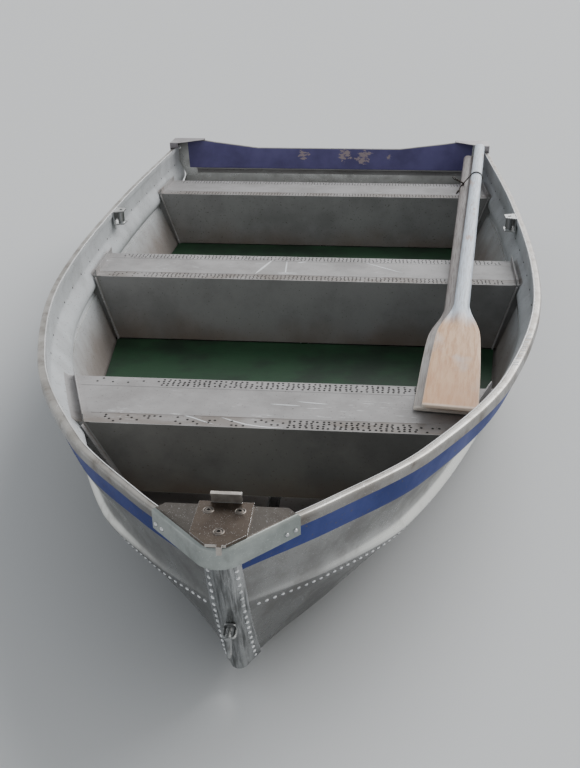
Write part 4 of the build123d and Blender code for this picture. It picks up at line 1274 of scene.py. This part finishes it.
# %% Punched dimples
dimple_sides, dimple_height, jitter, dense_share = 8, 0.0009, (0.0018, 0.0012, 0), 0.95
dot_tree, given = geometry_tree("punched_band", {
    "Length": "Float", "Depth": "Float", "Columns": "Int", "Rows": "Int", "Centre": "Vector",
    "Dense From": "Float", "Dense To": "Float", "Stray": "Float", "Radius": "Float", "Seed": "Int",
    "Material": "Material",
})
sizes = {"Size X": "Length", "Size Y": "Depth", "Vertices X": "Columns", "Vertices Y": "Rows"}
sizes = {socket: given[name] for socket, name in sizes.items()}
grid = add_node(dot_tree, "GeometryNodeMeshGrid", sizes, "Mesh")
shift = {0: [-v for v in jitter], 1: jitter, 8: given["Seed"]}
shift = add_node(dot_tree, "FunctionNodeRandomValue", shift, data_type="FLOAT_VECTOR")
moved = add_node(dot_tree, "GeometryNodeSetPosition", {"Geometry": grid, "Offset": shift})
place_x = add_node(dot_tree, "ShaderNodeSeparateXYZ", {0: add_node(dot_tree, "GeometryNodeInputPosition")})
past, short_of = (
    add_node(dot_tree, "ShaderNodeMath", {0: place_x, 1: given[end]}, operation=test)
    for end, test in (("Dense From", "GREATER_THAN"), ("Dense To", "LESS_THAN"))
)
dense = add_node(dot_tree, "ShaderNodeMath", {0: past, 1: short_of}, operation="MULTIPLY")
kept = {"Value": dense, "To Min": given["Stray"], "To Max": dense_share}
kept = add_node(dot_tree, "ShaderNodeMapRange", kept)
chance = {2: 0.0, 3: 1.0, 8: given["Seed"]}
chance = add_node(dot_tree, "FunctionNodeRandomValue", chance, output=1, data_type="FLOAT")
missing = add_node(dot_tree, "ShaderNodeMath", {0: chance, 1: kept}, operation="GREATER_THAN")
left = {"Geometry": moved, "Selection": missing}
left = add_node(dot_tree, "GeometryNodeDeleteGeometry", left, domain="POINT")
there = add_node(dot_tree, "GeometryNodeTransform", {"Geometry": left, "Translation": given["Centre"]})
dimple = {"Vertices": dimple_sides, "Depth": dimple_height, "Radius": given["Radius"]}
dimple = add_node(dot_tree, "GeometryNodeMeshCylinder", dimple, "Mesh")
punched = add_node(dot_tree, "GeometryNodeInstanceOnPoints", {"Points": there, "Instance": dimple})
finish_tree(dot_tree, punched, given["Material"])

# columns: thwart, edge (0 fore, 1 aft), rows, dense from, dense to, stray share, radius
band_rows = [
    ("bow", 0, 4, 0.04, 0.29, 0.3, 3.0),
    ("bow", 1, 4, -0.27, 0.46, 0.1, 2.9),
    ("middle", 0, 5, -0.50, 0.60, 0.45, 2.4),
    ("middle", 1, 4, -0.58, 0.60, 0.5, 2.4),
    ("aft", 0, 5, -0.56, 0.56, 0.4, 2.2),
    ("aft", 1, 4, -0.56, 0.56, 0.4, 2.2),
]
column_pitch, row_pitch, band_inset, band_end, first_seed = 12, 9.0, 9, 40, 7
for seed, (part, edge, rows, dense_from, dense_to, stray, radius) in enumerate(band_rows, first_seed):
    panel = seats[part].panels[edge]
    run, depth = 2 * (panel.top_half - band_end), (rows - 1) * row_pitch
    centre = (0, panel.y - panel.way * (band_inset + depth / 2), seats[part].z)
    values = {
        "Length": run * mm, "Depth": depth * mm, "Columns": round(run / column_pitch), "Rows": rows,
        "Centre": [v * mm for v in centre], "Dense From": dense_from, "Dense To": dense_to, "Stray": stray,
        "Radius": radius * mm, "Seed": seed, "Material": dimple_black,
    }
    name = f"tread_{part}_{('fore', 'aft')[edge]}"
    piece = grown(name, dot_tree, bpy.data.meshes.new("nothing"), values, "grey_paint")
    print(name, len(piece.data.polygons) // (dimple_sides + 2))

# %% [markdown]
# ## Bolts of the base plate
# Three socket screws with cup washers hold the plate on the bow. Their shape is turned, so each is a profile
# spun round its axis: the cup's groove, the bright head and the socket, where the groove and the socket are
# painted black as shade.

# %% Bolts
# columns: radius, height above the plate, material of the ring up to the next row
bolt_profile = [
    (9.3, -0.3, 0), (9.0, 0.9, 0), (7.9, 1.5, 0), (6.9, 1.3, 1), (6.3, 0.5, 1), (5.7, 0.6, 0), (5.2, 1.4, 0),
    (2.9, 1.6, 1), (2.6, -0.2, 1), (0.1, -0.3, 1),
]
# columns: x and s
bolt_places = [(-24, 87), (24, 87), (0, 33)]
bolt_steps = 24
angles = [2 * pi * k / bolt_steps for k in range(bolt_steps)]
bolts = []
for x, s in bolt_places:
    centre = Vector((x, s - length / 2, plate_top))
    bolts.append([
        [centre + Vector((r * cos(angle), r * sin(angle), up)) for r, up, finish in bolt_profile]
        for angle in angles
    ])
# the dark rings of the profile are painted shade in the cup's groove and the socket
finish_at = {i: finish for i, (r, up, finish) in enumerate(bolt_profile)}
mesh = rings_mesh("base_plate_bolts", bolts, [screw_metal, recess_painted_shade], finish_at, "joined")
add_piece(mesh, crisp=50)
print("bolts:", len(bolts))

# %% [markdown]
# ## Scrapes
# Use has scraped the seats white in places, and the port gunwale has a row of
# short pale strokes across it. Each is a thin raised stroke that tapers at
# both ends, so that it stays a crisp mark from any side.

# %% Scrapes
# columns: width, then the x and s of each point
seat_scrapes = [
    (8, (-150, 1613), (-110, 1752)), (5, (-63, 1743), (-57, 1614)), (8, (-84, 1623), (-22, 1627)),
    (7, (-28, 1725), (2, 1740)), (5, (180, 1746), (305, 1650)),
    (3.6, (-222, 687), (-195, 684), (-168, 672), (-140, 656), (-118, 646)),
    (3.6, (-106, 678), (-80, 664), (-48, 650), (-10, 642), (34, 640)), (5, (-7, 748), (60, 744)),
    (4, (52, 764), (122, 756)),
]
chafe_count, chafe_from, chafe_to, chafe_width = 10, 761, 932, 7.5
chafe_inner, chafe_outer = 16, 5
scrape_rise, scrape_steps = 0.4, 10


def stroke(spots, width):
    """Rings of a thin raised stroke through points, as wide as given in its middle."""
    rings = []
    up = Vector((0, 0, scrape_rise))
    for k in range(scrape_steps + 1):
        t = k / scrape_steps * (len(spots) - 1)
        i = min(int(t), len(spots) - 2)
        here = spots[i].lerp(spots[i + 1], t - i)
        ahead = (spots[i + 1] - spots[i]).normalized()
        aside = Vector((-ahead.y, ahead.x, 0)) * (width / 2 * sqrt(max(0.01, sin(pi * k / scrape_steps))))
        rings.append([here - aside - up, here - aside + up, here + aside + up, here + aside - up])
    return rings


strokes = [
    stroke([Vector((x, s - length / 2, seat_height)) for x, s in spots], width)
    for width, *spots in seat_scrapes
]
for k in range(chafe_count):
    row = section_at(chafe_from + (chafe_to - chafe_from) * (k + 0.3 * sin(5 * k)) / (chafe_count - 1))
    inner_end, outer_end = (place(row, row.edge - inset, row.top) for inset in (chafe_inner, chafe_outer))
    slanted = outer_end + Vector((0, 3 * sin(3 * k), 0))
    strokes.append(stroke([inner_end, slanted], chafe_width * (0.7 + 0.3 * cos(7 * k))))
add_piece(rings_mesh("scrapes", strokes, [chalky_scrape]), crisp=60)
print("scrapes:", len(strokes))
